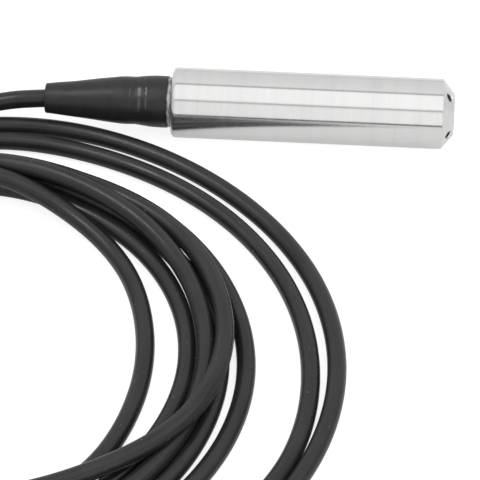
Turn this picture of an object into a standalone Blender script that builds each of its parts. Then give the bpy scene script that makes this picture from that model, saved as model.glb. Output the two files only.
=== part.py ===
"""Submersible level transmitter, lying on a floor with its vented cable coiled in front of it.

Metres, +Z up. The probe's axis runs along +X to the nose, and the origin lies under the middle of
the probe and its boot, on the floor. Each turned piece is modelled about its own X axis, from a
face that its location names, and hangs on an empty on the probe's axis.
"""
import math

import bmesh
import bpy
import numpy as np
from mathutils import Matrix, Vector

# Steel body
BODY_DIAMETER = 0.028
BODY_LENGTH = 0.112
SEAM_GAP = 0.0001
TUBE_WALL = 0.002
TAIL_LIP = 0.0025
TAIL_EDGE_RADIUS = 0.002

# Nose cap
CAP_LENGTH = 0.0233
CAP_WALL = 0.0028
CAP_FACE_DIAMETER = 0.0165
CAP_CONE_LENGTH = 0.0046
CAP_FACE_WALL = 0.003
CHAMBER_DIAMETER = 0.017
SPIGOT_END_ROOM = 0.002
INLET_COUNT = 4
INLET_DIAMETER = 0.0032
INLET_RIM_DIAMETER = 0.0044
INLET_RIM_DEPTH = 0.0006
INLET_ALONG_CONE = 0.42
INLET_TURN_DEGREES = 7.0
DRILL_OVERRUN = 0.003

# Collar that holds the pressure capsule
COLLAR_LENGTH = 0.0085
SPIGOT_LENGTH = 0.0075
REAR_SPIGOT_LENGTH = 0.007
SPIGOT_WALL = 0.0014
LIP_HEIGHT = 0.0012
LIP_THICKNESS = 0.0015

# Pressure capsule
CAPSULE_LENGTH = 0.012
CAPSULE_GROOVE_FROM_FRONT = 0.004
DIAPHRAGM_THICKNESS = 0.0003
RING_LENGTH = 0.003
RING_BORE = 0.013
RING_SLOT_WIDTH = 0.002
RING_SLOT_DEPTH = 0.0012
PIN_COUNT = 5
PIN_DIAMETER = 0.0007
PIN_LENGTH = 0.005
PIN_CIRCLE = 0.008

# Rubber seals
SEAL_SECTION = 0.0014
TAIL_SEAL_SECTION = 0.0016
GROOVE_SIDE_GAP = 0.0003
SEAT_GAP = 0.00015

# Electronics
SLEEVE_WALL = 0.0008
BOARD_THICKNESS = 0.0016
BOARD_DROP = 0.001
BOARD_FROM_SPIGOT = 0.0035
BOARD_FROM_ENTRY = 0.0075
BLOCK_BEVEL = 0.0002
AMPLIFIER_SIZE = (0.010, 0.0062, 0.0018)
CONVERTER_SIZE = (0.0075, 0.005, 0.0016)
CAPACITOR_DIAMETER = 0.0063
CAPACITOR_HEIGHT = 0.0054
COMPONENT_GAP = 0.0015
TRIMMER_SIZE = (0.0065, 0.0045, 0.0045)
TRIMMER_SCREW_DIAMETER = 0.0024
TERMINAL_SIZE = (0.005, 0.0125, 0.005)
TERMINAL_SCREW_DIAMETER = 0.0025
TERMINAL_WAYS = 3
RIBBON_WIDTH = 0.008
RIBBON_THICKNESS = 0.0003
RIBBON_OVERLAP = 0.004
RIBBON_BEND = 0.001

# Tail fitting and cable gland
FLANGE_LENGTH = 0.0065
FLANGE_GROOVE_FROM_BACK = 0.002
NECK_DIAMETER = 0.0182
NECK_LENGTH = 0.0016
STUB_DIAMETER = 0.0175
STUB_LENGTH = 0.0125
STUB_TAPER_LENGTH = 0.007
STUB_TAPER = 0.0012
GLAND_BORE = 0.0122
GLAND_DEPTH = 0.011
WASHER_THICKNESS = 0.001
GROMMET_LENGTH = 0.0055
NUT_HEAD_LENGTH = 0.003
NUT_HEAD_ACROSS_CORNERS = 0.0146
NUT_HEAD_SINK = 0.0001

# Heat-shrunk boot and the rubber cone in it
BOOT_LENGTH = 0.0491
BOOT_WALL = 0.0011
BOOT_MOUTH_DIAMETER = 0.0120
BOOT_MOUTH_ROUND = 0.0004
BOOT_TAPER_LENGTH = 0.0316
BOOT_TAPER_DIAMETER = 0.0189
BOOT_DIP_DIAMETER = 0.0188
BOOT_DIP_START = 0.4
CONE_SETBACK = 0.0015
BEAD_HEIGHT = 0.0009
BEAD_EDGE_HEIGHT = 0.0006

# Fits
FIT = 0.0003

# Cable
CABLE_DIAMETER = 0.0072
ENTRY_INSIDE = 0.003
LEAD_START = -0.060
WIRE_DIAMETER = 0.0013
VENT_TUBE_DIAMETER = 0.0018
WIRE_SPREAD = 0.0042
LEAD_WIRE_LENGTH = 0.024
FERRULE_LENGTH = 0.006
FERRULE_DIAMETER = 0.0017
VENT_END_LENGTH = 0.019

# Facets round a turned piece, and the steepest angle between facets that is shaded smooth
OUTER_FACETS = 64
INNER_FACETS = 32
SMALL_FACETS = 20
PIN_FACETS = 8
SEAL_SECTION_FACETS = 8
EDGE_STEPS = 4
SMOOTH_DEGREES = 32.0

# Route of the cable from the cone to the coil, chosen by hand
LEAD_ROUTE = (
    (-0.0600, 0.0, 0.0140),
    (-0.0700, 0.0, 0.0140),
    (-0.0780, 0.0, 0.0140),
    (-0.0940, -0.0010, 0.0123),
    (-0.1090, -0.0020, 0.0092),
    (-0.1280, -0.0050, 0.0060),
    (-0.1502, -0.0119, 0.0039),
    (-0.1890, -0.0425, 0.0036),
    (-0.2124, -0.1250, 0.0036),
    (-0.1815, -0.2115, 0.0036),
)
# The coil's eight turns about COIL_CENTRE, outermost first: radii at the bearings, in degrees
COIL_CENTRE = (-0.100, -0.132)
COIL_BEARINGS = (-90, -45, -20, 0, 20, 45, 70, 90, 135, 180, 225)
COIL_TURNS = (
    (0.1175, 0.1290, 0.1373, 0.1404, 0.1386, 0.1325, 0.1278, 0.1248, 0.1144, 0.1046, 0.1062),
    (0.1100, 0.1212, 0.1303, 0.1308, 0.1280, 0.1223, 0.1177, 0.1163, 0.1071, 0.0975, 0.0991),
    (0.1010, 0.1034, 0.1059, 0.1068, 0.1058, 0.1040, 0.1028, 0.1046, 0.0993, 0.0898, 0.0914),
    (0.0937, 0.0955, 0.0964, 0.0970, 0.0968, 0.0948, 0.0956, 0.0976, 0.0922, 0.0827, 0.0843),
    (0.0865, 0.0900, 0.0908, 0.0918, 0.0923, 0.0927, 0.0923, 0.0932, 0.0875, 0.0777, 0.0773),
    (0.0795, 0.0813, 0.0824, 0.0844, 0.0860, 0.0874, 0.0890, 0.0912, 0.0850, 0.0727, 0.0702),
    (0.0728, 0.0719, 0.0688, 0.0686, 0.0710, 0.0774, 0.0833, 0.0863, 0.0780, 0.0657, 0.0634),
    (0.0662, 0.0772, 0.0912, 0.0977, 0.1003, 0.1004, 0.0972, 0.0976, 0.0940, 0.0862, 0.0690),
)
# Where a turn climbs over others: its number from the outside, then heights at bearings
COIL_CLIMBS = {
    4: {-90: 0.0048, -45: 0.0080, -20: 0.0079, 0: 0.0080, 20: 0.0089, 45: 0.0110,
        70: 0.0148, 90: 0.0150, 135: 0.0120, 180: 0.0084},
    6: {45: 0.0036, 70: 0.0084, 90: 0.0156, 135: 0.0110},
    7: {-90: 0.0064, -45: 0.0112, -20: 0.0138, 0: 0.0128, 20: 0.0106, 45: 0.0094,
        70: 0.0100, 90: 0.0102, 135: 0.0097, 180: 0.0104, 225: 0.0112},
}
# The end of the cable, over the inner turns into the open middle, chosen by hand
TAIL_ROUTE = (
    (-0.1340, -0.1834, 0.0116),
    (-0.1193, -0.1803, 0.0096),
    (-0.1072, -0.1715, 0.0064),
    (-0.1002, -0.1583, 0.0041),
    (-0.0985, -0.1434, 0.0036),
)
FIRST_TURN_BEARING = 270.0
OUTER_RING_TURNS = 2
LEAD_END_BEARING = 120.0
STEP_FACE_DEGREES = 0.5
RING_JOIN_DEGREES = 1.0
TAIL_SETS_OFF_DEGREES = 30.0
QUARTER_TURN = 90.0
OUTLINE_BEARINGS = sorted([*range(0, 360, 12), LEAD_END_BEARING + STEP_FACE_DEGREES])
ROUTE_STEP = 0.0005
COIL_DRAFT = 0.002
LEAD_POINT_SPACING = 0.009
TAIL_POINT_SPACING = 0.008

# Worked out from the sizes above
BODY_RADIUS = BODY_DIAMETER / 2
AXIS_HEIGHT = BODY_RADIUS
CABLE_RADIUS = CABLE_DIAMETER / 2
CABLE_BORE_RADIUS = CABLE_RADIUS + FIT
TUBE_RADIUS = BODY_RADIUS - TUBE_WALL
CAP_THREAD_RADIUS = BODY_RADIUS - CAP_WALL
CAP_THREAD_DEPTH = SPIGOT_LENGTH + SPIGOT_END_ROOM
SPIGOT_RADIUS = CAP_THREAD_RADIUS - FIT
CAPSULE_BORE_RADIUS = SPIGOT_RADIUS - SPIGOT_WALL
CAPSULE_RADIUS = CAPSULE_BORE_RADIUS - FIT
LIP_RADIUS = CAPSULE_BORE_RADIUS - LIP_HEIGHT
STUB_RADIUS = STUB_DIAMETER / 2
CONE_RISE = BODY_RADIUS - CAP_FACE_DIAMETER / 2

NOSE_X = (BODY_LENGTH + NECK_LENGTH + BOOT_LENGTH) / 2
CAP_X = NOSE_X - CAP_LENGTH
COLLAR_X = CAP_X - SEAM_GAP
TUBE_FRONT_X = COLLAR_X - COLLAR_LENGTH - SEAM_GAP
TAIL_X = NOSE_X - BODY_LENGTH
BOOT_X = TAIL_X - NECK_LENGTH
CAPSULE_X = COLLAR_X + SPIGOT_LENGTH - LIP_THICKNESS - FIT
RING_X = CAPSULE_X - CAPSULE_LENGTH - FIT
FLANGE_X = TAIL_X + TAIL_LIP + SEAM_GAP
STUB_END_X = BOOT_X - STUB_LENGTH
SPIGOT_END_X = COLLAR_X - COLLAR_LENGTH - REAR_SPIGOT_LENGTH
CORE_OFFSET = (WIRE_DIAMETER + VENT_TUBE_DIAMETER) / 2 + FIT
ENTRY_X = FLANGE_X + FLANGE_LENGTH + ENTRY_INSIDE
SLEEVE_RADIUS = TUBE_RADIUS - FIT
SLEEVE_BORE_RADIUS = SLEEVE_RADIUS - SLEEVE_WALL

BOARD_X = SPIGOT_END_X - BOARD_FROM_SPIGOT
BOARD_LENGTH = BOARD_X - (ENTRY_X + BOARD_FROM_ENTRY)
BOARD_TOP = -BOARD_DROP + BOARD_THICKNESS / 2
BOARD_LOWEST = BOARD_DROP + BOARD_THICKNESS / 2
BOARD_WIDTH = 2 * (math.sqrt(SLEEVE_BORE_RADIUS ** 2 - BOARD_LOWEST ** 2) - FIT)

# Rows of components behind the ribbon, evenly spaced to the board's back edge
ROW_LENGTHS = (AMPLIFIER_SIZE[0], CONVERTER_SIZE[0], TRIMMER_SIZE[0], TERMINAL_SIZE[0])
ROW_GAP = (BOARD_LENGTH - RIBBON_OVERLAP - sum(ROW_LENGTHS)) / (len(ROW_LENGTHS) + 1)
ROW_STARTS = [RIBBON_OVERLAP + ROW_GAP * (row + 1) + sum(ROW_LENGTHS[:row])
              for row in range(len(ROW_LENGTHS))]
ROW_CENTRES = [start + length / 2 for start, length in zip(ROW_STARTS, ROW_LENGTHS)]
AMPLIFIER_AT, CONVERTER_AT, TRIMMER_AT, TERMINAL_AT = ROW_CENTRES
TERMINAL_BACK_X = BOARD_X - TERMINAL_AT - TERMINAL_SIZE[0] / 2 - FIT


def clear_scene():
    for ob in list(bpy.data.objects):
        bpy.data.objects.remove(ob, do_unlink=True)


def material(name, colour, roughness, metallic=0.0):
    mat = bpy.data.materials.get(name) or bpy.data.materials.new(name)
    mat.use_nodes = True
    shader = mat.node_tree.nodes["Principled BSDF"]
    shader.inputs["Base Color"].default_value = (*colour, 1.0)
    shader.inputs["Roughness"].default_value = roughness
    shader.inputs["Metallic"].default_value = metallic
    return mat


def steel(name):
    return material(name, (0.72, 0.72, 0.71), 0.12, 1.0)


def rubber(name):
    return material(name, (0.02, 0.02, 0.022), 0.5)


def plastic(name, colour):
    return material(name, colour, 0.45)


def add_object(name, mesh, mat, axis, x=0.0, y=0.0, z=0.0):
    """Puts a mesh in the scene under the probe's axis, at a place on it."""
    mesh.shade_smooth()
    mesh.set_sharp_from_angle(angle=math.radians(SMOOTH_DEGREES))
    ob = bpy.data.objects.new(name, mesh)
    mesh.materials.append(mat)
    bpy.context.collection.objects.link(ob)
    ob.parent = axis
    ob.location = (x, y, z)
    return ob


def turned_mesh(name, profile, facets):
    """Turns a closed outline of (x, radius) points about the X axis; points on the axis merge."""
    bm = bmesh.new()
    verts = [bm.verts.new((x, 0.0, r)) for x, r in profile]
    edges = []
    for first, second in zip(verts, verts[1:] + verts[:1]):
        if first.co.z > 0 or second.co.z > 0:
            edges.append(bm.edges.new((first, second)))
    bmesh.ops.spin(bm, geom=verts + edges, cent=(0, 0, 0), axis=(1, 0, 0),
                   angle=2 * math.pi, steps=facets)
    bmesh.ops.remove_doubles(bm, verts=bm.verts, dist=1e-6)
    bmesh.ops.recalc_face_normals(bm, faces=bm.faces)
    mesh = bpy.data.meshes.new(name)
    bm.to_mesh(mesh)
    bm.free()
    return mesh


def turned(name, profile, mat, axis, x, facets=INNER_FACETS):
    return add_object(name, turned_mesh(name, profile, facets), mat, axis, x)


def tube_profile(back, front, inner, outer):
    return [(back, inner), (back, outer), (front, outer), (front, inner)]


def seal_profile(x, radius, section):
    """The round section of a seal ring."""
    outline = []
    for i in range(SEAL_SECTION_FACETS):
        angle = 2 * math.pi * i / SEAL_SECTION_FACETS
        outline.append((x + section / 2 * math.cos(angle), radius + section / 2 * math.sin(angle)))
    return outline


def block_mesh(name, size, bevel=BLOCK_BEVEL):
    """A box on its base with small bevels."""
    bm = bmesh.new()
    bmesh.ops.create_cube(bm, size=1.0, matrix=Matrix.Diagonal((*size, 1.0)))
    bmesh.ops.translate(bm, verts=bm.verts, vec=(0, 0, size[2] / 2))
    bmesh.ops.bevel(bm, geom=list(bm.edges), offset=bevel, segments=1, affect="EDGES")
    mesh = bpy.data.meshes.new(name)
    bm.to_mesh(mesh)
    bm.free()
    return mesh


def hide_cutter(ob):
    ob.hide_render = True
    ob.display_type = "WIRE"


def cut(ob, cutter):
    hide_cutter(cutter)
    modifier = ob.modifiers.new("cut", "BOOLEAN")
    modifier.operation = "DIFFERENCE"
    modifier.solver = "EXACT"
    modifier.object = cutter


def wire(name, points, diameter, mat, resolution=2):
    """A round wire or cable along points, with filled ends."""
    curve = bpy.data.curves.new(name, "CURVE")
    curve.dimensions = "3D"
    curve.bevel_depth = diameter / 2
    curve.bevel_resolution = resolution
    curve.render_resolution_u = 0
    curve.use_fill_caps = True
    spline = curve.splines.new("POLY")
    spline.points.add(len(points) - 1)
    for point, place in zip(spline.points, points):
        point.co = (*place, 1.0)
    curve.materials.append(mat)
    ob = bpy.data.objects.new(name, curve)
    bpy.context.collection.objects.link(ob)
    return ob


def smooth_line(points, spacing):
    """Points at an even spacing along a cubic spline through the given points."""
    points = np.array(points, dtype=float)
    chords = np.linalg.norm(np.diff(points, axis=0), axis=1)
    knots = np.concatenate([[0.0], np.cumsum(chords)])
    count = len(points)
    system = np.eye(count)
    target = np.zeros((count, 3))
    for i in range(1, count - 1):
        before, after = chords[i - 1], chords[i]
        system[i, i - 1:i + 2] = (before, 2 * (before + after), after)
        target[i] = 6 * ((points[i + 1] - points[i]) / after - (points[i] - points[i - 1]) / before)
    bend = np.linalg.solve(system, target)
    steps = max(2, round(knots[-1] / spacing) + 1)
    places = np.linspace(0.0, knots[-1], steps)
    span = np.clip(np.searchsorted(knots, places, side="right") - 1, 0, count - 2)
    width = chords[span][:, None]
    left = (knots[span + 1] - places)[:, None]
    right = (places - knots[span])[:, None]
    line = (bend[span] * left ** 3 + bend[span + 1] * right ** 3) / (6 * width)
    line += (points[span] / width - bend[span] * width / 6) * left
    line += (points[span + 1] / width - bend[span + 1] * width / 6) * right
    return line


def cable_route():
    """The whole cable's own points: lead, eight turns counter-clockwise, then the tail."""
    route = list(LEAD_ROUTE)
    for number, radii in enumerate(COIL_TURNS):
        climbs = COIL_CLIMBS.get(number, {})
        for bearing, radius in zip(COIL_BEARINGS, radii):
            angle = math.radians(bearing)
            x = COIL_CENTRE[0] + radius * math.cos(angle)
            y = COIL_CENTRE[1] + radius * math.sin(angle)
            route.append((x, y, climbs.get(bearing, CABLE_RADIUS)))
    return route + list(TAIL_ROUTE)


def polar(line):
    """Bearings in degrees, unrolled along the line, and radii about the coil's centre."""
    across = line[:, 0] - COIL_CENTRE[0]
    along = line[:, 1] - COIL_CENTRE[1]
    bearings = np.degrees(np.unwrap(np.arctan2(along, across)))
    return bearings, np.hypot(across, along)


def outer_side(line):
    """The side of the cable along its line that faces away from the coil's centre."""
    heading = np.gradient(line, axis=0)
    heading /= np.hypot(heading[:, 0], heading[:, 1])[:, None]
    return line + CABLE_RADIUS * np.column_stack([heading[:, 1], -heading[:, 0], 0.0 * heading[:, 2]])


def ring_outline(bearings, radii, low, high):
    """Outer and inner radius of the strands between two unrolled bearings, bearing by bearing."""
    outer, inner = [], []
    for place in OUTLINE_BEARINGS:
        passes = np.arange(place, high, 360.0)
        passes = passes[passes >= low]
        found = np.interp(passes, bearings, radii)
        outer.append(found.max() + CABLE_RADIUS)
        inner.append(found.min() - CABLE_RADIUS)
    return outer, inner


def coil_solid(name, outline, height, mat):
    """A ring between two outlines about the coil's centre, whose sides lean in towards its top."""
    outer, inner = outline
    bm = bmesh.new()
    rings = []
    for radii, z in ((outer, 0.0), ([r - COIL_DRAFT for r in outer], height),
                     ([r + COIL_DRAFT for r in inner], height), (inner, 0.0)):
        ring = []
        for bearing, radius in zip(OUTLINE_BEARINGS, radii):
            angle = math.radians(bearing)
            x = COIL_CENTRE[0] + radius * math.cos(angle)
            y = COIL_CENTRE[1] + radius * math.sin(angle)
            ring.append(bm.verts.new((x, y, z)))
        rings.append(ring)
    for ring, following in zip(rings, rings[1:] + rings[:1]):
        for i in range(len(ring)):
            j = (i + 1) % len(ring)
            bm.faces.new((ring[i], ring[j], following[j], following[i]))
    bmesh.ops.recalc_face_normals(bm, faces=bm.faces)
    mesh = bpy.data.meshes.new(name)
    bm.to_mesh(mesh)
    bm.free()
    mesh.materials.append(mat)
    ob = bpy.data.objects.new(name, mesh)
    bpy.context.collection.objects.link(ob)
    return ob


def inlet_cutter(axis):
    """Four stepped drills, square to the cap's cone, each with a countersunk rim."""
    slant = Vector((-CAP_CONE_LENGTH, 0.0, CONE_RISE)).normalized()
    outward = Vector((slant.z, 0.0, -slant.x))
    start = Vector((CAP_LENGTH, 0.0, CAP_FACE_DIAMETER / 2))
    start += INLET_ALONG_CONE * Vector((-CAP_CONE_LENGTH, 0.0, CONE_RISE))
    reach = BODY_RADIUS - CHAMBER_DIAMETER / 2 + INLET_DIAMETER
    hole = INLET_DIAMETER / 2
    rim = INLET_RIM_DIAMETER / 2
    widest = rim + (rim - hole) / INLET_RIM_DEPTH * DRILL_OVERRUN
    profile = [(-reach, 0.0), (-reach, hole), (-INLET_RIM_DEPTH, hole), (0.0, rim),
               (DRILL_OVERRUN, widest), (DRILL_OVERRUN, 0.0)]
    bm = bmesh.new()
    for number in range(INLET_COUNT):
        drill = turned_mesh("drill", profile, SMALL_FACETS)
        turn = Vector((1, 0, 0)).rotation_difference(outward).to_matrix().to_4x4()
        place = Matrix.Translation(start) @ turn
        around = math.radians(INLET_TURN_DEGREES) + 2 * math.pi * number / INLET_COUNT
        drill.transform(Matrix.Rotation(around, 4, "X") @ place)
        bm.from_mesh(drill)
        bpy.data.meshes.remove(drill)
    mesh = bpy.data.meshes.new("inlet_cutter")
    bm.to_mesh(mesh)
    bm.free()
    return add_object("inlet_cutter", mesh, steel("cutter"), axis, CAP_X)


def seal_recess():
    """Width and radius of the recess in the cap's mouth that holds its seal."""
    width = SEAL_SECTION + 2 * GROOVE_SIDE_GAP
    radius = SPIGOT_RADIUS + SEAL_SECTION + 2 * SEAT_GAP
    return width, radius


def nose_cap(axis):
    width, recess = seal_recess()
    profile = [
        (0.0, BODY_RADIUS), (CAP_LENGTH - CAP_CONE_LENGTH, BODY_RADIUS),
        (CAP_LENGTH, CAP_FACE_DIAMETER / 2), (CAP_LENGTH, 0.0), (CAP_LENGTH - CAP_FACE_WALL, 0.0),
        (CAP_LENGTH - CAP_FACE_WALL, CHAMBER_DIAMETER / 2),
        (CAP_THREAD_DEPTH, CHAMBER_DIAMETER / 2), (CAP_THREAD_DEPTH, CAP_THREAD_RADIUS),
        (width, CAP_THREAD_RADIUS), (width, recess), (0.0, recess),
    ]
    cap = turned("nose_cap", profile, steel("nose_cap_steel"), axis, CAP_X, OUTER_FACETS)
    cut(cap, inlet_cutter(axis))


def nose_cap_seal(axis):
    width, _ = seal_recess()
    radius = SPIGOT_RADIUS + SEAT_GAP + SEAL_SECTION / 2
    turned("nose_cap_seal", seal_profile(width / 2, radius, SEAL_SECTION),
           rubber("nose_cap_seal_rubber"), axis, CAP_X, OUTER_FACETS)


def sensor_housing(axis):
    joint = TUBE_RADIUS - FIT
    back = -COLLAR_LENGTH - REAR_SPIGOT_LENGTH
    profile = [
        (SPIGOT_LENGTH, LIP_RADIUS), (SPIGOT_LENGTH, SPIGOT_RADIUS), (0.0, SPIGOT_RADIUS),
        (0.0, BODY_RADIUS), (-COLLAR_LENGTH, BODY_RADIUS), (-COLLAR_LENGTH, joint), (back, joint),
        (back, CAPSULE_BORE_RADIUS), (SPIGOT_LENGTH - LIP_THICKNESS, CAPSULE_BORE_RADIUS),
        (SPIGOT_LENGTH - LIP_THICKNESS, LIP_RADIUS),
    ]
    turned("sensor_housing", profile, steel("collar_steel"), axis, COLLAR_X, OUTER_FACETS)


def housing_tube(axis):
    length = TUBE_FRONT_X - TAIL_X
    hole = NECK_DIAMETER / 2 + FIT
    edge = min(TAIL_EDGE_RADIUS, BODY_RADIUS - hole)
    profile = [(0.0, hole)]
    for i in range(EDGE_STEPS + 1):
        angle = math.pi / 2 * i / EDGE_STEPS
        profile.append((edge - edge * math.cos(angle), BODY_RADIUS - edge + edge * math.sin(angle)))
    profile += [(length, BODY_RADIUS), (length, TUBE_RADIUS), (TAIL_LIP, TUBE_RADIUS),
                (TAIL_LIP, hole)]
    turned("housing_tube", profile, steel("tube_steel"), axis, TAIL_X, OUTER_FACETS)


def pressure_capsule(axis):
    groove = CAPSULE_BORE_RADIUS - SEAT_GAP - SEAL_SECTION - SEAT_GAP
    start = -CAPSULE_GROOVE_FROM_FRONT
    end = start - SEAL_SECTION - 2 * GROOVE_SIDE_GAP
    profile = [(0.0, 0.0), (0.0, CAPSULE_RADIUS), (start, CAPSULE_RADIUS), (start, groove),
               (end, groove), (end, CAPSULE_RADIUS), (-CAPSULE_LENGTH, CAPSULE_RADIUS),
               (-CAPSULE_LENGTH, 0.0)]
    turned("pressure_capsule", profile, steel("capsule_steel"), axis, CAPSULE_X)
    centre = CAPSULE_BORE_RADIUS - SEAT_GAP - SEAL_SECTION / 2
    turned("capsule_seal", seal_profile((start + end) / 2, centre, SEAL_SECTION),
           rubber("capsule_seal_rubber"), axis, CAPSULE_X)
    membrane = LIP_RADIUS - FIT
    front = FIT + DIAPHRAGM_THICKNESS
    turned("diaphragm", [(FIT, 0.0), (FIT, membrane), (front, membrane), (front, 0.0)],
           material("diaphragm_steel", (0.75, 0.74, 0.72), 0.2, 1.0), axis, CAPSULE_X)


def capsule_ring(axis):
    """Threaded ring behind the capsule, with two slots for a pin spanner."""
    ring = turned("capsule_ring", tube_profile(-RING_LENGTH, 0.0, RING_BORE / 2, CAPSULE_RADIUS),
                  steel("ring_steel"), axis, RING_X)
    size = (2 * RING_SLOT_DEPTH, 2 * CAPSULE_BORE_RADIUS, RING_SLOT_WIDTH)
    slots = add_object("slot_cutter", block_mesh("slot_cutter", size, bevel=RING_SLOT_DEPTH / 20),
                       steel("cutter"), axis, RING_X - RING_LENGTH, z=-RING_SLOT_WIDTH / 2)
    cut(ring, slots)


def header_pins(axis):
    """Glass-sealed pins on the capsule's back; the ring's bore leaves them clear."""
    brass = material("pin_gold", (0.9, 0.68, 0.3), 0.25, 1.0)
    for number in range(PIN_COUNT):
        angle = 2 * math.pi * number / PIN_COUNT
        profile = [(-PIN_LENGTH, 0.0), (-PIN_LENGTH, PIN_DIAMETER / 2), (0.0, PIN_DIAMETER / 2),
                   (0.0, 0.0)]
        add_object(f"header_pin_{number + 1}", turned_mesh("pin", profile, PIN_FACETS), brass, axis,
                   CAPSULE_X - CAPSULE_LENGTH - FIT, PIN_CIRCLE / 2 * math.sin(angle),
                   PIN_CIRCLE / 2 * math.cos(angle))


def sensor_ribbon(axis):
    """Flexible ribbon: a pad over the pins' tips, then a bend down to the board's top."""
    pad_x = CAPSULE_X - CAPSULE_LENGTH - FIT - PIN_LENGTH - FIT
    half = PIN_CIRCLE / 2 + PIN_DIAMETER
    low = BOARD_TOP + FIT
    bend = RIBBON_BEND
    thick = RIBBON_THICKNESS
    path = [(pad_x, half), (pad_x, low + bend), (pad_x - bend, low),
            (BOARD_X - RIBBON_OVERLAP, low)]
    upper = [(pad_x - thick, half), (pad_x - thick, low + bend + thick / 2),
             (pad_x - bend - thick / 2, low + thick), (BOARD_X - RIBBON_OVERLAP, low + thick)]
    bm = bmesh.new()
    outline = [bm.verts.new((x, -RIBBON_WIDTH / 2, z)) for x, z in path + upper[::-1]]
    face = bm.faces.new(outline)
    side = bmesh.ops.extrude_face_region(bm, geom=[face])
    moved = [item for item in side["geom"] if isinstance(item, bmesh.types.BMVert)]
    bmesh.ops.translate(bm, verts=moved, vec=(0, RIBBON_WIDTH, 0))
    bmesh.ops.recalc_face_normals(bm, faces=bm.faces)
    mesh = bpy.data.meshes.new("sensor_ribbon")
    bm.to_mesh(mesh)
    bm.free()
    add_object("sensor_ribbon", mesh, plastic("ribbon_amber", (0.55, 0.25, 0.04)), axis)


def board_sleeve(axis):
    back = FLANGE_X + FLANGE_LENGTH + FIT
    front = SPIGOT_END_X - FIT
    turned("board_sleeve", tube_profile(back, front, SLEEVE_BORE_RADIUS, SLEEVE_RADIUS),
           plastic("sleeve_amber", (0.6, 0.42, 0.2)), axis, 0.0)


def circuit_board(axis):
    mesh = block_mesh("circuit_board", (BOARD_LENGTH, BOARD_WIDTH, BOARD_THICKNESS))
    add_object("circuit_board", mesh, plastic("board_green", (0.02, 0.18, 0.07)), axis,
               BOARD_X - BOARD_LENGTH / 2, z=BOARD_TOP - BOARD_THICKNESS)


def on_board(name, mesh, mat, axis, along, across=0.0):
    """Seats a component on the board, at a distance behind the board's front edge."""
    return add_object(name, mesh, mat, axis, BOARD_X - along, across, BOARD_TOP + FIT)


def board_components(axis):
    black = plastic("chip_black", (0.03, 0.03, 0.032))
    on_board("amplifier_chip", block_mesh("amplifier_chip", AMPLIFIER_SIZE), black, axis,
             AMPLIFIER_AT)
    beside = (CONVERTER_SIZE[1] + COMPONENT_GAP) / 2
    on_board("current_loop_chip", block_mesh("current_loop_chip", CONVERTER_SIZE), black, axis,
             CONVERTER_AT, -beside)
    for name, side in (("zero_trimmer", -1), ("span_trimmer", 1)):
        trimmer(name, side * (TRIMMER_SIZE[1] + COMPONENT_GAP) / 2, axis)
    upright = [(0.0, 0.0), (0.0, CAPACITOR_DIAMETER / 2), (CAPACITOR_HEIGHT, CAPACITOR_DIAMETER / 2),
               (CAPACITOR_HEIGHT, 0.0)]
    can = turned_mesh("filter_capacitor", upright, SMALL_FACETS)
    can.transform(Matrix.Rotation(-math.pi / 2, 4, "Y"))
    on_board("filter_capacitor", can, material("capacitor_can", (0.6, 0.6, 0.62), 0.3, 1.0), axis,
             CONVERTER_AT, (CAPACITOR_DIAMETER + COMPONENT_GAP) / 2)


def trimmer(name, across, axis):
    """A trimming potentiometer with a slotted screw in its top."""
    body = on_board(name, block_mesh(name, TRIMMER_SIZE),
                    plastic("trimmer_blue", (0.03, 0.12, 0.45)), axis, TRIMMER_AT, across)
    screw_well(body, name, TRIMMER_SCREW_DIAMETER, TRIMMER_SIZE[2], TRIMMER_AT, (across,), axis)


def screw_well(body, name, diameter, height, along, places, axis):
    """Cuts a round well for each screw into the top of a component."""
    bm = bmesh.new()
    for across in places:
        place = Matrix.Translation((0.0, across, height))
        bmesh.ops.create_cone(bm, cap_ends=True, segments=SMALL_FACETS, radius1=diameter / 2,
                              radius2=diameter / 2, depth=height / 2, matrix=place)
    mesh = bpy.data.meshes.new(name + "_well")
    bm.to_mesh(mesh)
    bm.free()
    cut(body, on_board(name + "_well", mesh, steel("cutter"), axis, along))


def terminal_block(axis):
    block = on_board("terminal_block", block_mesh("terminal_block", TERMINAL_SIZE),
                     plastic("terminal_green", (0.03, 0.3, 0.12)), axis, TERMINAL_AT)
    pitch = TERMINAL_SIZE[1] / TERMINAL_WAYS
    places = [(number - (TERMINAL_WAYS - 1) / 2) * pitch for number in range(TERMINAL_WAYS)]
    screw_well(block, "terminal_block", TERMINAL_SCREW_DIAMETER, TERMINAL_SIZE[2], TERMINAL_AT,
               places, axis)


def tail_fitting(axis):
    """Flange inside the tube, neck through its lip, and a stub that the boot grips."""
    flange = SLEEVE_RADIUS
    groove = TUBE_RADIUS - SEAT_GAP - TAIL_SEAL_SECTION - SEAT_GAP
    start = FLANGE_GROOVE_FROM_BACK
    end = start + TAIL_SEAL_SECTION + 2 * GROOVE_SIDE_GAP
    boot_end = BOOT_X - FLANGE_X
    back = STUB_END_X - FLANGE_X
    profile = [
        (FLANGE_LENGTH, CABLE_BORE_RADIUS), (FLANGE_LENGTH, flange), (end, flange), (end, groove),
        (start, groove), (start, flange), (0.0, flange), (0.0, NECK_DIAMETER / 2),
        (boot_end, NECK_DIAMETER / 2), (boot_end, STUB_RADIUS),
        (back + STUB_TAPER_LENGTH, STUB_RADIUS), (back, STUB_RADIUS - STUB_TAPER),
        (back, GLAND_BORE / 2), (back + GLAND_DEPTH, GLAND_BORE / 2),
        (back + GLAND_DEPTH, CABLE_BORE_RADIUS),
    ]
    turned("tail_fitting", profile, steel("tail_steel"), axis, FLANGE_X)
    centre = TUBE_RADIUS - SEAT_GAP - TAIL_SEAL_SECTION / 2
    turned("tail_seal", seal_profile((start + end) / 2, centre, TAIL_SEAL_SECTION),
           rubber("tail_seal_rubber"), axis, FLANGE_X)


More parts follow.
